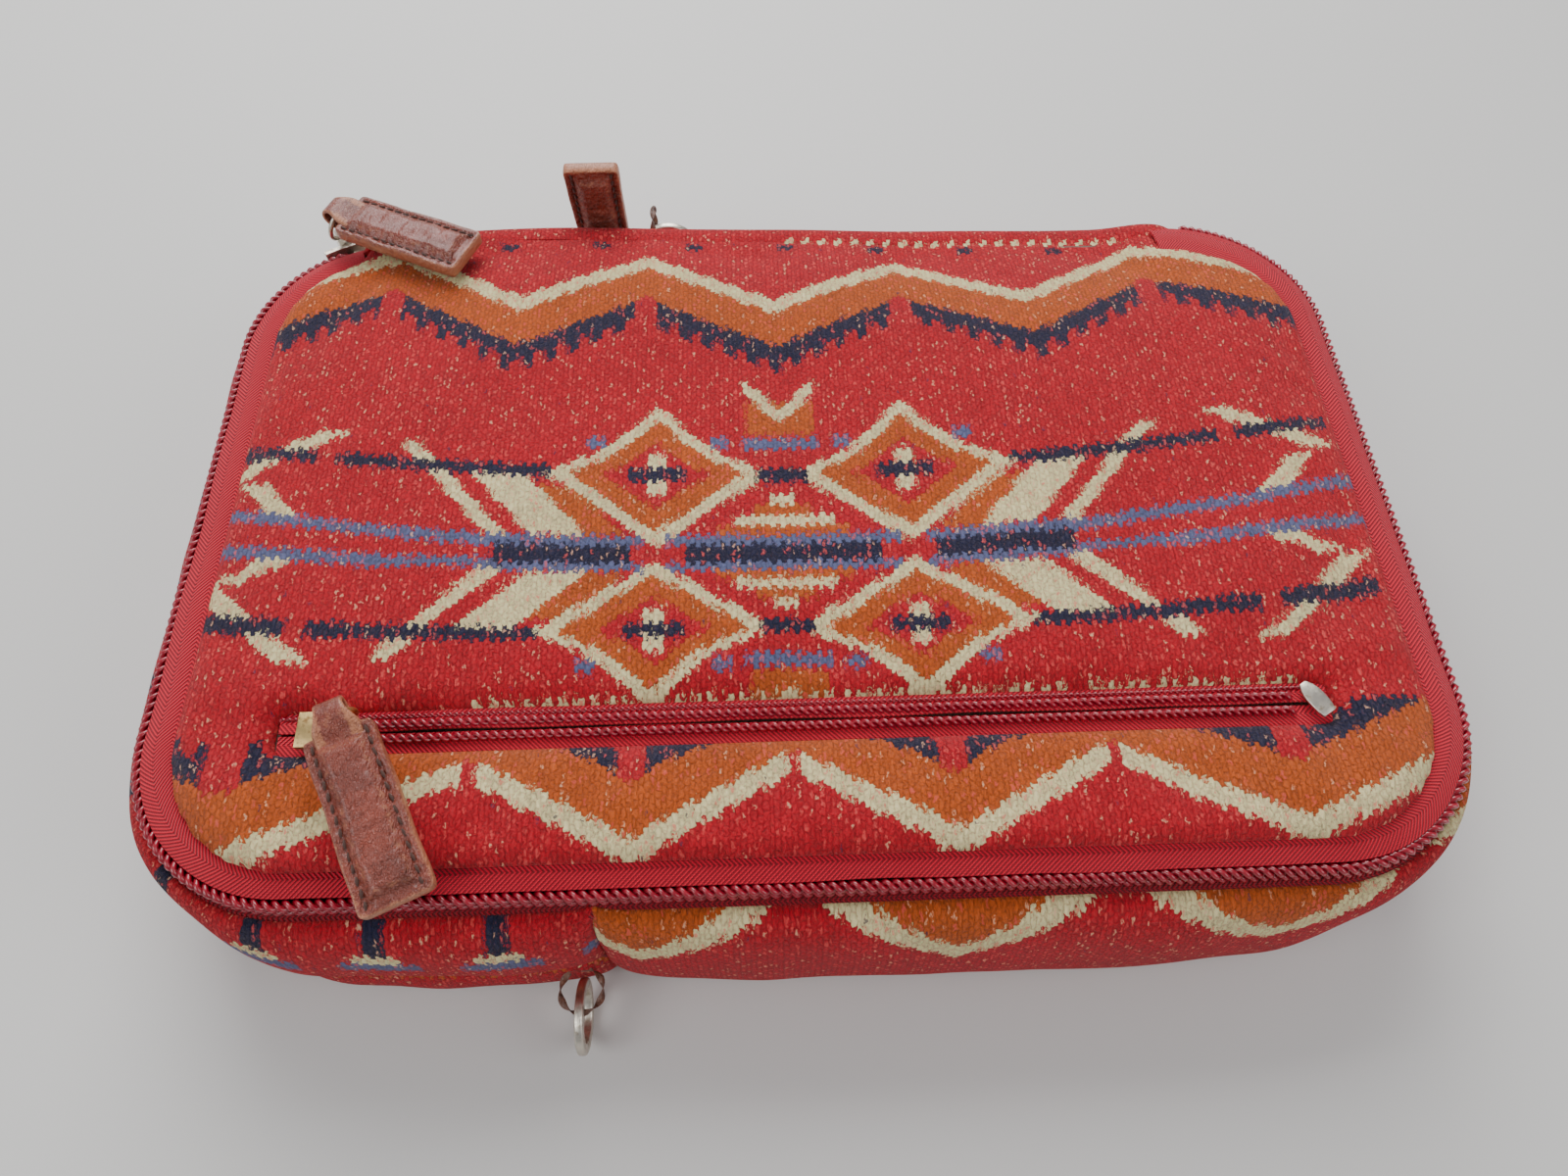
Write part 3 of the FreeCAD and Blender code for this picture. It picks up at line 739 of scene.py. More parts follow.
# %% Paths
BODY_R = 40.0
CORNER_X, CORNER_Y = 97.5, 50.0     # centres of the quarter turns, mm
FAR_LEFT, NEAR_LEFT = (-CORNER_X, CORNER_Y), (-CORNER_X, -CORNER_Y)
NEAR_RIGHT, FAR_RIGHT = (CORNER_X, -CORNER_Y), (CORNER_X, CORNER_Y)
ZIP_INSET = 6.5
SIDE_Y = 90                         # the near and far walls
LEFT_ENDS = -41.2                   # x where the left strip starts and ends, 0.8 mm past the seams


def case_path(name, inset, turns, start=None, end=None):
    """An open path inside the gusset's outer face; turns are (corner x, corner y, from, to)."""
    radius = (BODY_R - inset) * MM
    knots = []
    for cx, cy, a, b in turns:
        a, b = math.radians(a), math.radians(b)
        pull = 4 / 3 * math.tan((b - a) / 4) * radius
        for angle, before, after in ((a, 0, pull), (b, pull, 0)):
            at = Vector((cx * MM + radius * math.cos(angle), cy * MM + radius * math.sin(angle), 0))
            way = Vector((-math.sin(angle), math.cos(angle), 0))
            knots.append([at, way, before, after])
    for spot, where in ((start, 0), (end, len(knots) + 1)):
        if spot:
            way = knots[0 if where == 0 else -1][1]
            knots.insert(where, [Vector((*spot, 0)) * MM, way, 0, 0])
    curve = bpy.data.curves.new(name, "CURVE")
    curve.dimensions = "2D"
    curve.resolution_u = 48
    line = curve.splines.new("BEZIER")
    line.bezier_points.add(len(knots) - 1)
    for i, (point, (at, way, before, after)) in enumerate(zip(line.bezier_points, knots)):
        run_in = (at - knots[i - 1][0]).length / 3 if i else 0.01
        run_out = (knots[i + 1][0] - at).length / 3 if i + 1 < len(knots) else 0.01
        point.co = at
        point.handle_left_type = point.handle_right_type = "FREE"
        point.handle_left = at - way * (before or run_in)
        point.handle_right = at + way * (after or run_out)
    path = bpy.data.objects.new(name, curve)
    bpy.context.collection.objects.link(path)
    bpy.context.view_layer.update()
    return path, line.calc_length()


def round_the_zip(name, first, last):
    """The zip's path from its far left end to its far right end, given as angles in degrees."""
    turns = [(*FAR_LEFT, first, 180), (*NEAR_LEFT, 180, 270), (*NEAR_RIGHT, 270, 360), (*FAR_RIGHT, 0, last)]
    return case_path(name, ZIP_INSET, turns)


zip_path, zip_length = round_the_zip("zip_path", 116, 82)
right_turns = [(*NEAR_RIGHT, 270, 360), (*FAR_RIGHT, 0, 90)]
right_path, right_length = case_path(
    "right_path", 0, right_turns, (RIGHT_ENDS, -SIDE_Y), (RIGHT_ENDS, SIDE_Y))
left_turns = [(*FAR_LEFT, 90, 180), (*NEAR_LEFT, 180, 270)]
left_path, left_length = case_path(
    "left_path", 0, left_turns, (LEFT_ENDS, SIDE_Y), (LEFT_ENDS, -SIDE_Y))
tape_path, tape_length = round_the_zip("tape_path", 108, 95)
lengths = [round(n / MM, 1) for n in (zip_length, right_length, left_length)]
print("zip, right gusset, left gusset, mm:", lengths)


# %% Strips
def strip(name, length, section, step=2.0, ease=None, from_top=False):
    """A straight band along X. The section lists (in from the path, height) in mm across the band.

    The UV map counts across from the section's first point. With from_top it is shifted, so that the
    last point's value is its height.
    """
    columns = max(2, round(length / (step * MM)))
    bpy.ops.mesh.primitive_grid_add(x_subdivisions=columns, y_subdivisions=len(section) - 1, size=2)
    piece = named(name)
    across = [0.0]
    for (a, b), (c, d) in zip(section, section[1:]):
        across.append(across[-1] + math.hypot(c - a, d - b))
    spots = []
    for vertex in piece.data.vertices:
        u = (vertex.co.x + 1) / 2 * length
        row = round((vertex.co.y + 1) / 2 * (len(section) - 1))
        inset, height = section[row]
        if ease:
            inset, height = ease(u / MM, inset, height, row / (len(section) - 1))
        spots.append((u, row))
        vertex.co = Vector((u, inset * MM, height * MM))
    sheet, top = piece.data.uv_layers.active.data, section[-1][1]
    for loop in piece.data.loops:
        u, row = spots[loop.vertex_index]
        sheet[loop.index].uv = (u, (top - across[-1] + across[row] if from_top else across[row]) * MM)
    return piece


def wrap(piece, path):
    """Bends a straight piece round a path; its Y runs in from the path."""
    modifier = piece.modifiers.new("wrap", "CURVE")
    modifier.object = path
    modifier.deform_axis = "POS_X"
    return apply_modifiers(piece)


def ease_between(value, low, high):
    t = min(1.0, max(0.0, (value - low) / (high - low)))
    return t * t * (3 - 2 * t)


def lump(u, v, size, seed):
    """Soft noise between -1 and 1 for the way cloth settles."""
    return noise.noise(Vector((u / size, v / size, seed)))


print("strips ready")

# %% [markdown]
# ## The gusset
# The wall of the case is a soft strip that bellies out between its seams and tucks in under the zip.
# The right part is one plain strip. The left part is two strips with a zip between them, and the upper
# one droops over the zip. At both seams the cloth is drawn in, which leaves a groove.

# %% Gusset walls
WALL, STRIP_WALL = 2.2, 1.8         # thickness of the right strip and of the two left ones, mm
WALL_TOP = 42.0
TUCK, TUCK_REACH = 6.5, 33          # how far the base leans in, and over what length either way
# middles of the quarter turns, mm along each path
CORNERS = {"right": (171.7, 334.5), "left": (87.7, 250.5)}


def tuck(side, u, height):
    """The base is smaller than the zip at its corners, so the wall leans in there."""
    lean = 0.0
    for middle in CORNERS[side]:
        lean += max(0.0, math.cos(math.pi / 2 * min(1.0, abs(u - middle) / TUCK_REACH))) ** 2
    return TUCK * lean * max(0.0, 1 - height / WALL_TOP)


def belly(side, length, swell, seed, near_from, near_to):
    """Cloth between two seams: out in the middle, most along the near side, drawn in at its ends."""
    def ease(u, inset, height, t):
        end = min(u, length / MM - u)
        groove = 1.3 * math.exp(-end / 2.2)
        leaving = ease_between(u, near_to - 30, near_to + 30)
        near = ease_between(u, near_from - 30, near_from + 30) * (1 - leaving)
        out = swell * (0.12 + 0.88 * near) * (1 - math.exp(-end / 9))
        sway = lump(u, height, 34, seed) * 1.2 + lump(u, height, 13, seed + 5) * 0.5
        puff = (out + sway) * math.sin(math.pi * t)
        settled = max(0.1, height + sway * 0.25 * math.sin(math.pi * t))
        return inset + groove - puff + tuck(side, u, height), settled
    return ease


right_section = [(3.4, 0.2), (1.4, 0.5), (0.4, 2.2), (0.0, 4.8), (-0.3, 8), (-0.4, 12), (-0.5, 16),
                 (-0.5, 20), (-0.4, 24), (-0.3, 28), (-0.1, 32), (0.2, 35.5), (0.8, 38.6), (2.0, 40.9),
                 (3.4, 41.9), (4.6, 42.0)]
lower_section = [(3.4, 0.2), (1.4, 0.5), (0.4, 2.2), (0.0, 4.8), (-0.2, 8), (-0.3, 11), (0.1, 14),
                 (1.0, 15.6), (2.0, 16.0)]
upper_section = [(2.4, 20.6), (1.2, 20.0), (0.1, 20.6), (-0.7, 23), (-0.9, 26), (-0.7, 30), (-0.2, 34),
                 (0.2, 36.4), (0.8, 38.8), (2.0, 40.9), (3.4, 41.9), (4.6, 42.0)]
GUSSETS = (
    ("right", right_section, WALL, wool_right, belly("right", right_length, 4.6, 1.0, -60, 130)),
    ("lower", lower_section, STRIP_WALL, wool_left, belly("left", left_length, 2.8, 3.0, 285, 400)),
    ("upper", upper_section, STRIP_WALL, wool_left, belly("left", left_length, 3.6, 8.0, 285, 400)),
)
for part, section, thickness, finish, ease in GUSSETS:
    path, length = (right_path, right_length) if part == "right" else (left_path, left_length)
    piece = strip("gusset_wool_" + part, length, section, 2.2, ease, from_top=True)
    thicken(wrap(piece, path), thickness * MM)
    outward(piece)
    subdivide(piece)
    smooth(piece, 60)
    piece.data.materials.append(finish)
    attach(piece, "bag")
    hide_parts("gusset_" + part)
    print(piece.name, triangles(piece), "triangles")

# %% [markdown]
# ## Tapes and coils of the cover zip
# The zip stands on edge: its upper tape slopes up and in under the cover's wool, its lower tape turns
# down inside the wall. A coil reads as a two-strand cord with a steep lay, so two strands
# half a turn apart are each screwed from a small ring of vertices, joined, and bent round the case.


# %% Rope-like coil
def coil(name, length, radius, lay=4.0, steps=12):
    """Two strands laid round each other along X; lay is one full turn in mm."""
    strands = []
    wire = radius * 0.56
    for start in (0, math.pi):
        bpy.ops.mesh.primitive_circle_add(vertices=6, radius=wire * MM)
        strand = named(name)
        turn = Matrix.Rotation(start, 4, "X") @ Matrix.Translation((0, (radius - wire) * MM, 0))
        put(strand, turn)
        screw = strand.modifiers.new("lay", "SCREW")
        screw.axis = "X"
        screw.screw_offset = lay * MM
        screw.iterations = max(1, int(length / (lay * MM)))
        screw.steps = screw.render_steps = steps
        apply_modifiers(strand)
        strands.append(strand)
    pair = joined(name, strands)
    only(pair)
    bpy.ops.object.mode_set(mode="EDIT")
    bpy.ops.mesh.select_all(action="DESELECT")
    bpy.ops.mesh.select_non_manifold()
    bpy.ops.mesh.edge_face_add()
    bpy.ops.mesh.select_all(action="SELECT")
    bpy.ops.mesh.normals_make_consistent(inside=False)
    bpy.ops.object.mode_set(mode="OBJECT")
    return smooth(pair, 70)


def sew_in(piece, finish, body, slot, *nodes):
    """Gives a piece its finish, its body and the nodes that it stands for."""
    piece.data.materials.clear()
    piece.data.materials.append(finish)
    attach(piece, body)
    if nodes:
        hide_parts(*nodes)
    print(f"{piece.name}: {triangles(piece)} triangles, on {body}")
    return piece


COIL_R, COIL_OUT = 1.27, 0.3        # radius of a coil, and how far it stands out from the path, mm
for name, height, body in (("cover_coil_chain", 45.95, "cover"), ("body_coil_chain", 43.3, "bag")):
    chain = coil(name, zip_length, COIL_R)
    put(chain, Matrix.Translation((0, -COIL_OUT * MM, height * MM)))
    wrap(chain, zip_path)
    sew_in(chain, coil_red, body, "zip_coil", name.removesuffix("_chain"))


# %% Tapes
def ripple(height_by, seed):
    def ease(u, inset, height, t):
        return inset + lump(u, 0, 21, seed) * 0.35, height + lump(u, t * 9, 17, seed + 2) * height_by
    return ease


cover_band = [(0.6, 47.0), (1.8, 47.65), (3.2, 48.3), (4.8, 48.75), (6.6, 49.0), (8.6, 49.15), (10.8, 49.2)]
cover_tape = thicken(strip("cover_tape_band", tape_length, cover_band, 2.5, ripple(0.22, 4.0)), 0.7 * MM)
outward(wrap(cover_tape, tape_path))
sew_in(smooth(cover_tape, 50), tape_red, "cover", "zip_tape", "cover_tape")

body_band = [(-3.2, 36.0), (-3.5, 38.5), (-3.6, 40.2), (-3.2, 41.2), (-2.2, 41.6), (-0.4, 41.5), (0.8, 41.3)]
body_tape = thicken(strip("body_tape_band", tape_length, body_band, 2.5, ripple(0.1, 9.0)), 0.6 * MM)
outward(wrap(body_tape, tape_path))
sew_in(smooth(body_tape, 50), tape_in_shade, "bag", "zip_tape", "body_tape")

# %% [markdown]
# ## The zip in the left gusset
# Its two tapes and coils lie on edge in the wall, a little way in from the wool.

# %% Gusset zip
GUSSET_COIL_R, GUSSET_COIL_IN, SQUEEZED = 1.45, 1.3, 0.62
for name, low, high in (("gusset_tape_lower", 14.6, 17.4), ("gusset_tape_upper", 22.6, 25.6)):
    tape = strip(name + "_band", left_length, [(1.3, low), (1.35, (low + high) / 2), (1.3, high)], 2.5,
                 lambda u, inset, height, t: (inset + tuck("left", u, height), height))
    tape = outward(wrap(thicken(tape, 0.7 * MM, offset=0), left_path))
    sew_in(smooth(tape, 50), tape_in_shade, "bag", "zip_tape", name)
for name, height in (("gusset_coil_lower", 18.45), ("gusset_coil_upper", 21.55)):
    chain = coil(name + "_chain", left_length, GUSSET_COIL_R, steps=10)
    at = Matrix.Translation((0, GUSSET_COIL_IN * MM, height * MM))
    put(chain, at @ Matrix.Diagonal((1, SQUEEZED, 1, 1)))
    for vertex in chain.data.vertices:
        vertex.co.y += tuck("left", vertex.co.x / MM, height) * MM
    sew_in(wrap(chain, left_path), coil_red, "bag", "zip_coil", name)

# %% [markdown]
# ## The cover's wool face
# A sheet of wool is cut to a rounded outline with a slit for the pocket zip, its edges turned under and
# sewn down. Sewn edges held still and the middle pushed out by its padding is what a cloth simulation
# does well, so the sheet is a fine grid, its edges are pinned, and a light pressure fills it.

# %% Outline of the face
FACE_X, FACE_Y, FACE_R = 123.2, 79.4, 27.0
TONGUE_L, TONGUE_R, TONGUE_Y = -104.0, 97.0, 80.0
FAR_Y = 76.0                        # where the sewn edge would run past the tongue
SLIT_X, SLIT_Y, SLIT_HALF = 103.0, -52.0, 3.7
SLIT_BOX = (-SLIT_X, SLIT_Y - SLIT_HALF, SLIT_X, SLIT_Y + SLIT_HALF, 1.5)


def inside_box(x, y, x0, y0, x1, y1, r):
    """Distance to a rounded box, negative inside, with the nearest point on its edge."""
    cx = min(max(x, x0 + r), x1 - r)
    cy = min(max(y, y0 + r), y1 - r)
    dx, dy = x - cx, y - cy
    if dx or dy:
        reach = math.hypot(dx, dy)
        return reach - r, (cx + dx * r / reach, cy + dy * r / reach)
    edges = [(x - x0, (x0, y)), (x1 - x, (x1, y)), (y - y0, (x, y0)), (y1 - y, (x, y1))]
    depth, spot = min(edges)
    return -depth, spot


def face_edge(x, y):
    """The nearer of the rounded outline and, past the far corners, the tongue to the fold."""
    if TONGUE_L < x < TONGUE_R and y > 40:
        sides = [(y - TONGUE_Y, (x, TONGUE_Y))]
        if y > FAR_Y - 3:
            sides += [(TONGUE_L - x, (TONGUE_L, y)), (x - TONGUE_R, (TONGUE_R, y))]
        return max(sides)
    return inside_box(x, y, -FACE_X, -FACE_Y, FACE_X, FAR_Y, FACE_R)


def sewn_depth(x, y):
    """How far a point of the face lies from the nearest sewn edge; the fold is not sewn."""
    outer = -inside_box(x, y, -FACE_X, -FACE_Y, FACE_X, 200, FACE_R)[0]
    if y > 50:
        sewn = -face_edge(x, y)[0]
        if TONGUE_L < x < TONGUE_R:
            sewn = max(sewn, x - TONGUE_L if x < 0 else TONGUE_R - x)
        outer = min(outer, sewn)
    slit = inside_box(x, y, *SLIT_BOX)[0]
    return max(0.0, min(outer, slit))


# %% Cut the face
CELL = 2.45
columns, rows = round(2 * FACE_X / CELL), round((TONGUE_Y + FACE_Y) / CELL)
bpy.ops.mesh.primitive_grid_add(x_subdivisions=columns, y_subdivisions=rows, size=2)
face = named("cover_wool_face")
for vertex in face.data.vertices:
    x = vertex.co.x * FACE_X
    y = -FACE_Y + (vertex.co.y + 1) / 2 * (TONGUE_Y + FACE_Y)
    vertex.co = (x, y, 0)
cut = bmesh.new()
cut.from_mesh(face.data)


def outside(spot):
    """True for a cell beyond the outline or within the slit."""
    slit = inside_box(spot.x, spot.y, *SLIT_BOX)[0]
    return face_edge(spot.x, spot.y)[0] > -0.35 * CELL or slit < 0.35 * CELL


gone = [cell for cell in cut.faces if outside(cell.calc_center_median())]
bmesh.ops.delete(cut, geom=gone, context="FACES")
for vertex in [v for v in cut.verts if v.is_boundary]:
    x, y, _ = vertex.co
    slit, at_slit = inside_box(x, y, *SLIT_BOX)
    vertex.co.x, vertex.co.y = at_slit if abs(slit) < 2 * CELL else face_edge(x, y)[1]
cut.to_mesh(face.data)
cut.free()
face.data.update()
print("cells in the face:", len(face.data.polygons))


# %% Fill the face
FACE_LOW, ROLL_UP, ROLL_WIDE = 49.9, 1.9, 1.5
FACE_CAP, FACE_CLOTH = 2.6, 1.7      # the most that the padding lifts the cloth, and its thickness, mm


def sag(x, y):
    """The unsupported far edge droops between the zip's ends, more on the right."""
    droop = 1.4 + 5.4 * ease_between(x, -70, 75)
    right_end = 1 - 0.55 * ease_between(x, TONGUE_R - 16, TONGUE_R + 4)
    held_up = ease_between(x, TONGUE_L - 6, TONGUE_L + 16) * right_end
    return droop * held_up * ease_between(y, 42, 82)


def swell(piece):
    """Fills the pinned sheet by a cloth simulation, and gives back each point's rise in mm."""
    trial = copy_of(piece, Matrix.Scale(MM, 4))
    only(trial)
    pins = trial.vertex_groups.new(name="sewn")
    held = [v.index for v in trial.data.vertices if sewn_depth(v.co.x / MM, v.co.y / MM) < 0.3
            or v.co.y / MM > TONGUE_Y - 0.5]
    pins.add(held, 1.0, "ADD")
    cloth = trial.modifiers.new("fill", "CLOTH")
    cloth.settings.quality = 6
    cloth.settings.mass = 0.25
    cloth.settings.tension_stiffness = cloth.settings.compression_stiffness = 12
    cloth.settings.bending_stiffness = 0.6
    cloth.settings.use_pressure = True
    cloth.settings.uniform_pressure_force = 3.0
    cloth.settings.shrink_min = -0.012
    cloth.settings.vertex_group_mass = "sewn"
    cloth.settings.effector_weights.gravity = 0
    cloth.collision_settings.use_collision = False
    scene = bpy.context.scene
    for step in range(1, 21):
        scene.frame_set(step)
    apply_modifiers(trial)
    rise = [v.co.z / MM for v in trial.data.vertices]
    scene.frame_set(1)
    discard(trial)
    return rise


rises = swell(face)
print("highest rise of the filled face, mm:", round(max(rises), 2), "lowest:", round(min(rises), 2))
for vertex, rise in zip(face.data.vertices, rises):
    x, y, _ = vertex.co
    depth = sewn_depth(x, y)
    roll = ROLL_UP * (1 - math.exp(-depth / ROLL_WIDE))
    filled = FACE_CAP * math.tanh(abs(rise) / FACE_CAP)
    settle_z = (lump(x, y, 42, 2.0) * 0.9 + lump(x, y, 17, 5.0) * 0.35) * (1 - math.exp(-depth / 8))
    vertex.co = (x * MM, y * MM, (FACE_LOW + roll + filled + settle_z - sag(x, y)) * MM)
thicken(face, FACE_CLOTH * MM)
outward(face)
keep_sharp(face, lambda v: v.co.y > (TONGUE_Y - 0.3) * MM)
subdivide(face)
smooth(face, 60)
sew_in(face, wool_cover, "cover", "wool", "cover_panel", "cover_foam")

# %% [markdown]
# ## The fold behind the cover
# The cover has no zip along its far edge: its wool runs on over the edge and down the far wall. That
# piece bends as the cover opens, and here it is attached to neither body.

# %% Fold
fold_section = [(80.0, 51.8), (81.6, 51.7), (83.2, 51.2), (84.7, 50.3), (86.0, 49.0), (87.0, 47.3),
                (87.8, 45.2), (88.5, 42.8), (89.4, 40.0), (90.4, 37.0), (91.0, 34.0)]
FOLD_L, FOLD_R = -107.0, 102.0


def fold_sway(u, y, z, t):
    """The fold droops with the face, and is drawn in and down at its two ends."""
    x = u + FOLD_L
    end = min(u, FOLD_R - FOLD_L - u)
    drawn_in = math.exp(-end / 4.0)
    drop = sag(x, 80.0) * (1 - 0.8 * t)
    return (y - drawn_in * (1.5 + 2.0 * t) + lump(u, z, 30, 6.0) * 0.8 * t,
            max(30.0, z - drop - drawn_in * 3.4 * (1 - t) + lump(x, 80, 42, 2.0) * 0.9 * (1 - t)
                + lump(u, y, 37, 7.0) * 0.9 * math.sin(math.pi * t)))


fold = strip("cover_fold", (FOLD_R - FOLD_L) * MM, fold_section, 2.5, fold_sway)
put(fold, Matrix.Translation((FOLD_L * MM, 0, 0)))
thicken(fold, FACE_CLOTH * MM)
outward(fold)
keep_sharp(fold, lambda v: v.co.y < 80.6 * MM)
subdivide(fold)
smooth(fold, 60)
fold.data.materials.append(wool_cover)
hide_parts("spine")
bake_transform(fold)
print("fold:", triangles(fold), "triangles")

# %% [markdown]
# ## Lining, divider and back
# The bag stands open in some poses, so what lines it is modelled too: thin cloth sheets cut to the
# rounded outline, a little slack, and bands of the same cloth round the wall. The back is wool again.


# %% Sheets cut to the rounded outline
def cut_sheet(name, half_x, half_y, radius, height, thickness, slack, cell=4.0, seed=1.0):
    """A flat sheet with rounded corners that sways up and down by its slack, in mm."""
    bpy.ops.mesh.primitive_grid_add(
        x_subdivisions=round(2 * half_x / cell), y_subdivisions=round(2 * half_y / cell), size=2)
    piece = named(name)
    trim = bmesh.new()
    trim.from_mesh(piece.data)
    for vertex in trim.verts:
        vertex.co.x *= half_x
        vertex.co.y *= half_y
    box = (-half_x, -half_y, half_x, half_y, radius)
    far_out = [c for c in trim.faces if inside_box(*c.calc_center_median().xy, *box)[0] > -0.3 * cell]
    bmesh.ops.delete(trim, geom=far_out, context="FACES")
    for vertex in [v for v in trim.verts if v.is_boundary]:
        vertex.co.x, vertex.co.y = inside_box(*vertex.co.xy, *box)[1]
    for vertex in trim.verts:
        x, y, _ = vertex.co
        depth = max(0.0, -inside_box(x, y, *box)[0])
        sway = (lump(x, y, 38, seed) + 0.4 * lump(x, y, 15, seed + 3)) * slack * (1 - math.exp(-depth / 14))
        vertex.co = (x * MM, y * MM, (height + sway) * MM)
    trim.to_mesh(piece.data)
    trim.free()
    return smooth(outward(thicken(piece, thickness * MM, offset=0)), 50)


back = cut_sheet("back_wool", 133.4, 85.9, 46.0, 1.1, 1.7, 0.25, seed=11.0)
sew_in(back, wool_cover, "bag", "wool", "back_panel")
for name, half_x, half_y, radius, height, slack, body, node in (
    ("back_lining_cloth", 134.0, 86.5, 47.0, 4.6, 0.4, "bag", "back_lining"),
    ("divider_cloth", 134.6, 87.0, 42.0, 30.6, 1.3, "bag", "divider"),
    ("cover_lining_cloth", 126.5, 79.0, 28.0, 45.0, 0.4, "cover", "cover_lining"),
):
    sheet = cut_sheet(name, half_x, half_y, radius, height, 0.6, slack, seed=height)
    sew_in(sheet, lining_brown, body, "lining", node)

for name, section, nodes in (
    ("main_lining_cloth", [(2.7, 3.0), (2.9, 12), (3.2, 20), (3.0, 29.8)], ["main_lining"]),
    ("front_lining_cloth", [(2.7, 31.6), (3.3, 34), (3.4, 37), (3.9, 40.6)], ["front_lining"]),
):
    halves = []
    for side, path, length in (("right", right_path, right_length), ("left", left_path, left_length)):
        def hang(u, inset, height, t):
            return inset + 0.25 + lump(u, height, 24, 4.0) * 0.25 + tuck(side, u, height), height
        half = strip(name, length, section, 5.0, hang)
        halves.append(wrap(thicken(half, 0.4 * MM), path))
    cloth = smooth(outward(joined(name, halves)), 50)
    sew_in(cloth, lining_brown, "bag", "lining", *nodes)

# %% [markdown]
# ## The pocket zip
# Two tapes lie under the slit with the coils above their inner edges, and a crimped metal stop closes
# the right end. A thin laid cord runs along the slit's far edge.

# %% Pocket zip
POCKET_L, POCKET_R = -92.0, 98.0
for side, where in ((-1, "near"), (1, "far")):
    low = [(-51.9 + side * out, height) for out, height in ((9.0, 48.9), (6.0, 49.2), (3.4, 49.5))]
    low.append((SLIT_Y + side * 0.2, 49.75))
    tape = strip(f"pocket_tape_{where}_band", 2 * SLIT_X * MM, low, 2.5, ripple(0.12, 3.0 + side))
    put(tape, Matrix.Translation((-SLIT_X * MM, 0, 0)))
    thicken(tape, 0.5 * MM)
    sew_in(smooth(outward(tape), 50), tape_red, "cover", "zip_tape", f"pocket_tape_{where}")
    chain = coil(f"pocket_coil_{where}_chain", (POCKET_R - POCKET_L) * MM, 1.04, lay=3.6, steps=10)
    put(chain, Matrix.Translation((POCKET_L * MM, (SLIT_Y + side * 1.52) * MM, 50.38 * MM)))
    sew_in(chain, coil_red, "cover", "zip_coil", f"pocket_coil_{where}")
edge_cord = coil("pocket_edge_cord", 2 * SLIT_X * MM, 0.55, lay=2.4, steps=8)
put(edge_cord, Matrix.Translation((-SLIT_X * MM, -48.75 * MM, 50.1 * MM)))
sew_in(edge_cord, coil_red, "cover", "zip_coil")

# %% End stop
bpy.ops.mesh.primitive_cube_add(size=2)
stop = named("pocket_stop_plate")
only(stop)
bpy.ops.object.mode_set(mode="EDIT")
bpy.ops.mesh.select_all(action="SELECT")
bpy.ops.mesh.subdivide(number_cuts=5)
bpy.ops.object.mode_set(mode="OBJECT")
for vertex in stop.data.vertices:
    a, b, c = vertex.co
    narrow = 1 - 0.6 * max(0.0, b) ** 2.4 - 0.25 * max(0.0, -b) ** 3
    dome = 0.55 * (1 - a * a * 0.6) * (1 - b * b * 0.5)
    vertex.co = (a * 2.3 * narrow, b * 4.7, c * 0.45 + dome)
bevel = stop.modifiers.new("edge", "BEVEL")
bevel.width = 0.25
bevel.segments = 3
apply_modifiers(stop)
put(stop, Matrix.Translation((0.0996, -0.0517, 0.0517)) @ Matrix.Rotation(math.radians(30), 4, "Z")
    @ Matrix.Rotation(math.radians(-9), 4, "Y") @ Matrix.Scale(0.8 * MM, 4))
sew_in(smooth(outward(stop), 50), nickel_worn, "cover", "nickel", "pocket_end_stop")

# %% [markdown]
# ## Leather pulls
# A pull is a tab of leather filled out between two rows of stitches, with a narrow strap sewn in between
# its two sides and folded round the ring. Its end is cut square, so the edge shows the thickness of the
# leather. Each of the three tabs has creases of its own; the strap and the stitches are copied.

# %% One pull
PULL_END, PULL_HALF, PULL_START = 37.6, 7.0, 3.4
RIM, CORE, STITCH_IN = 1.55, 1.25, 2.0


def pull_body(seed):
    """The filled tab, along +X from the ring; also marks where it is rubbed."""
    bpy.ops.mesh.primitive_grid_add(x_subdivisions=56, y_subdivisions=26, size=2)
    tab = named("pull_tab")
    length = PULL_END - PULL_START
    box = (0, -PULL_HALF, length, PULL_HALF, 1.7)
    for vertex in tab.data.vertices:
        x, y = (vertex.co.x + 1) / 2 * length, vertex.co.y * PULL_HALF
        out, spot = inside_box(x, y, *box)
        if out > 0:
            x, y = spot
        taper = 1 - 0.06 * (1 - x / length)
        vertex.co = (x, y * taper, 0)
    thicken(tab, 2 * RIM, offset=0)
    subdivide(tab)
    depths = []
    for vertex in tab.data.vertices:
        x, y, z = vertex.co
        depth = max(0.0, -inside_box(x, y, *box)[0])
        fill = CORE * ease_between(depth, STITCH_IN, STITCH_IN + 2.6)
        groove = 0.42 * math.exp(-((depth - STITCH_IN) / 0.5) ** 2) * (abs(y) > 3.5)
        crease = noise.noise(Vector((x / 1.5, y / 5.0, seed))) * 0.26
        crease += noise.noise(Vector((x / 4, y / 4, seed + 4))) * 0.3
        side = max(-1.0, min(1.0, z / RIM))
        vertex.co.z = z + side * (fill - groove + crease * min(1.0, depth / 1.5))
        vertex.co.y += noise.noise(Vector((x / 9, 3.0, seed))) * 0.35
        vertex.co.x += PULL_START
        depths.append(depth)
    rub = tab.data.attributes.new("rub", "FLOAT", "POINT")
    worn = [0.95 * math.exp(-d / 0.7) + 0.35 * math.exp(-((d - 3.4) / 0.9) ** 2) for d in depths]
    rub.data.foreach_set("value", worn)
    return tab


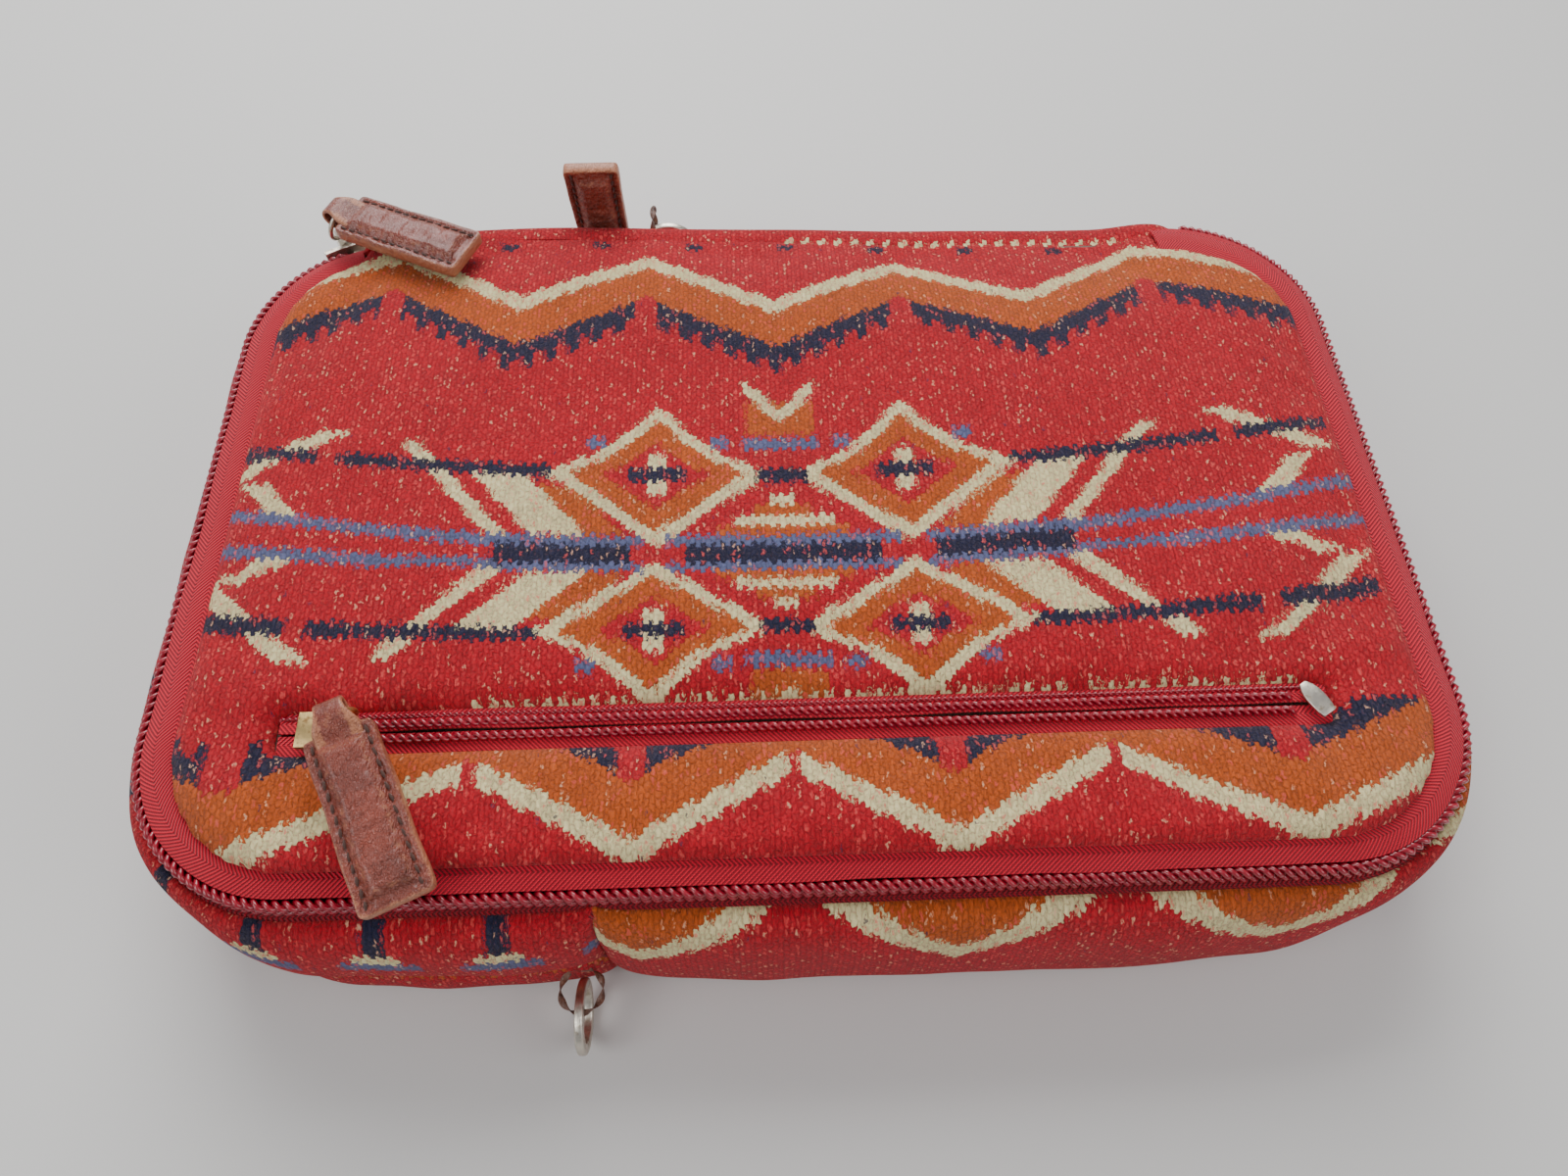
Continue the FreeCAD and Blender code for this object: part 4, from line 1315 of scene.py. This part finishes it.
# half the strap's section, (along, height) in mm, from inside the tab round to the wire's far side
NECK = [(8.0, 0.7), (6.4, 0.8), (4.8, 1.2), (3.3, 1.9), (1.8, 2.4), (0.2, 2.5), (-1.2, 2.1),
        (-2.15, 1.2), (-2.5, 0.0)]
NECK += [(x, -z) for x, z in reversed(NECK[:-1])]


def pull_neck():
    """The strap, folded round the ring's wire; both its ends are sewn in between the tab's two sides."""
    strap = strip("pull_neck", 2 * MM, NECK, 0.25)
    for vertex in strap.data.vertices:
        side, x = vertex.co.x / MM - 1, vertex.co.y / MM
        half = 2.75 + 1.7 * ease_between(x, -0.5, 3.6)
        vertex.co = (x, side * half, vertex.co.z / MM)
    outward(thicken(strap, 0.95, offset=0))
    subdivide(strap)
    rub = strap.data.attributes.new("rub", "FLOAT", "POINT")
    rub.data.foreach_set("value", [0.3 + 0.4 * (abs(v.co.y) > 2.4) for v in strap.data.vertices])
    return strap


def pull_stitches():
    """Two rows of waxed thread along the tab, on both its sides."""
    bpy.ops.mesh.primitive_uv_sphere_add(segments=6, ring_count=5, radius=1)
    one = named("stitch")
    rows = []
    for x in [5.6 + 2.3 * i for i in range(14)]:
        for y in (-PULL_HALF + STITCH_IN, PULL_HALF - STITCH_IN):
            lean = 0.16 if y > 0 else -0.16
            for z in (1.42, -1.42):
                rows.append(copy_of(one, Matrix.Translation((x, y, z)) @ Matrix.Rotation(lean, 4, "Z")
                                    @ Matrix.Diagonal((0.98, 0.3, 0.26, 1))))
    discard(one)
    return smooth(joined("pull_stitches", rows), 60)


neck, thread = pull_neck(), pull_stitches()


def level_way(heading, dip):
    """The way a pull lies and its upper side, from its heading and its dip in degrees."""
    a, b = math.radians(heading), math.radians(dip)
    along = Vector((math.cos(a) * math.cos(b), math.sin(a) * math.cos(b), math.sin(b)))
    return along, Vector((-math.cos(a) * math.sin(b), -math.sin(a) * math.sin(b), math.cos(b)))


lean = math.radians(8)
# each pull's pivot on its ring in mm, the way it lies, and the way its upper side faces
PULLS = {
    "main": ((-111.404, 84.292, 56.568), *level_way(-24.7, 0)),
    "pocket": ((-88.459, -52.616, 61.060), *level_way(-66, -9)),
    "gusset": ((-48.0, 95.574, 26.714), Vector((0, -math.sin(lean), math.cos(lean))),
               Vector((0, math.cos(lean), math.sin(lean)))),
}
for seed, (name, (at, along, top)) in enumerate(PULLS.items()):
    node = name + "_pull"
    frame_of_pull = Matrix((along, top.cross(along), top)).transposed().to_4x4()
    where = Matrix.Translation(Vector(at) * MM) @ frame_of_pull @ Matrix.Scale(MM, 4)
    tab = joined(node + "_leather", [pull_body(seed * 7.0 + 1), copy_of(neck, Matrix.Identity(4))])
    sew_in(smooth(put(tab, where), 55), leather_brown, node, "leather", node)
    stitched = copy_of(thread, where)
    stitched.name = stitched.data.name = name + "_pull_stitches"
    sew_in(stitched, thread_brown, node, "leather")
discard(neck)
discard(thread)

# %% [markdown]
# ## Sliders and rings
# The metal parts have their exact shape in the frame already, but with knife edges. A copy of each is
# merged into one skin, its flat faces are made whole, and its edges are broken with a small bevel that
# catches the light as cast and plated metal does.


# %% Metal with broken edges
def refined(node, name, edge, finish, slot):
    """A copy of a frame node with its edges bevelled, which then stands for it."""
    source = frame["nodes"][node]
    solid = source if source.type == "MESH" else source.children[0]
    piece = bpy.data.objects.new(name, solid.data.copy())
    bpy.context.collection.objects.link(piece)
    only(piece)
    bpy.ops.object.mode_set(mode="EDIT")
    bpy.ops.mesh.select_all(action="SELECT")
    bpy.ops.mesh.remove_doubles(threshold=0.000005)
    bpy.ops.mesh.dissolve_limited(angle_limit=math.radians(1.5))
    bpy.ops.object.mode_set(mode="OBJECT")
    if edge:
        bevel = piece.modifiers.new("edge", "BEVEL")
        bevel.width = edge * MM
        bevel.segments = 3
        bevel.limit_method = "ANGLE"
        bevel.angle_limit = math.radians(38)
        bevel.use_clamp_overlap = True
        apply_modifiers(piece)
    smooth(piece, 35)
    return sew_in(piece, finish, node, slot, node)


METAL = [
    ("main_slider", 0.28, nickel_worn, "nickel"), ("gusset_slider", 0.28, nickel_worn, "nickel"),
    ("pocket_slider", 0.3, brass_worn, "brass"), ("main_ring", 0, nickel_worn, "nickel"),
    ("gusset_ring", 0, nickel_worn, "nickel"), ("pocket_ring", 0, brass_worn, "brass"),
    ("near_ring", 0, nickel_worn, "nickel"), ("far_ring", 0, nickel_worn, "nickel"),
]
for node, edge, finish, slot in METAL:
    refined(node, node + "_metal", edge, finish, slot)

# %% [markdown]
# ## Lace loops at the seams
# A leather lace, doubled and twisted, is sewn into each side seam and holds a flat ring. It is laid
# straight like the coils, then bent into a small circle.

# %% Lace loops
LOOP_R, LACE_R = 4.4, 0.74
around = 2 * math.pi * LOOP_R
bpy.ops.curve.primitive_bezier_circle_add(radius=LOOP_R * MM)
loop_path = named("loop_path")
loop_path.data.resolution_u = 32
for name, centre, turn in (
    ("near_loop", (-48.0, -95.05, 12.2), Matrix.Identity(4)),
    ("far_loop", (-34.5, 95.05, 40.5), Matrix.Rotation(math.radians(90), 4, "Y")),
):
    lace = coil(name + "_lace", around * MM, LACE_R, lay=around / 3 - 0.02, steps=16)
    wrap(lace, loop_path)
    put(lace, Matrix.Translation(Vector(centre) * MM) @ turn)
    rub = lace.data.attributes.new("rub", "FLOAT", "POINT")
    rub.data.foreach_set("value", [0.45] * len(lace.data.vertices))
    sew_in(lace, leather_lace, "bag", "thong", name)
discard(loop_path)

# %% Remove the paths
for path in (zip_path, tape_path, right_path, left_path):
    discard(path)
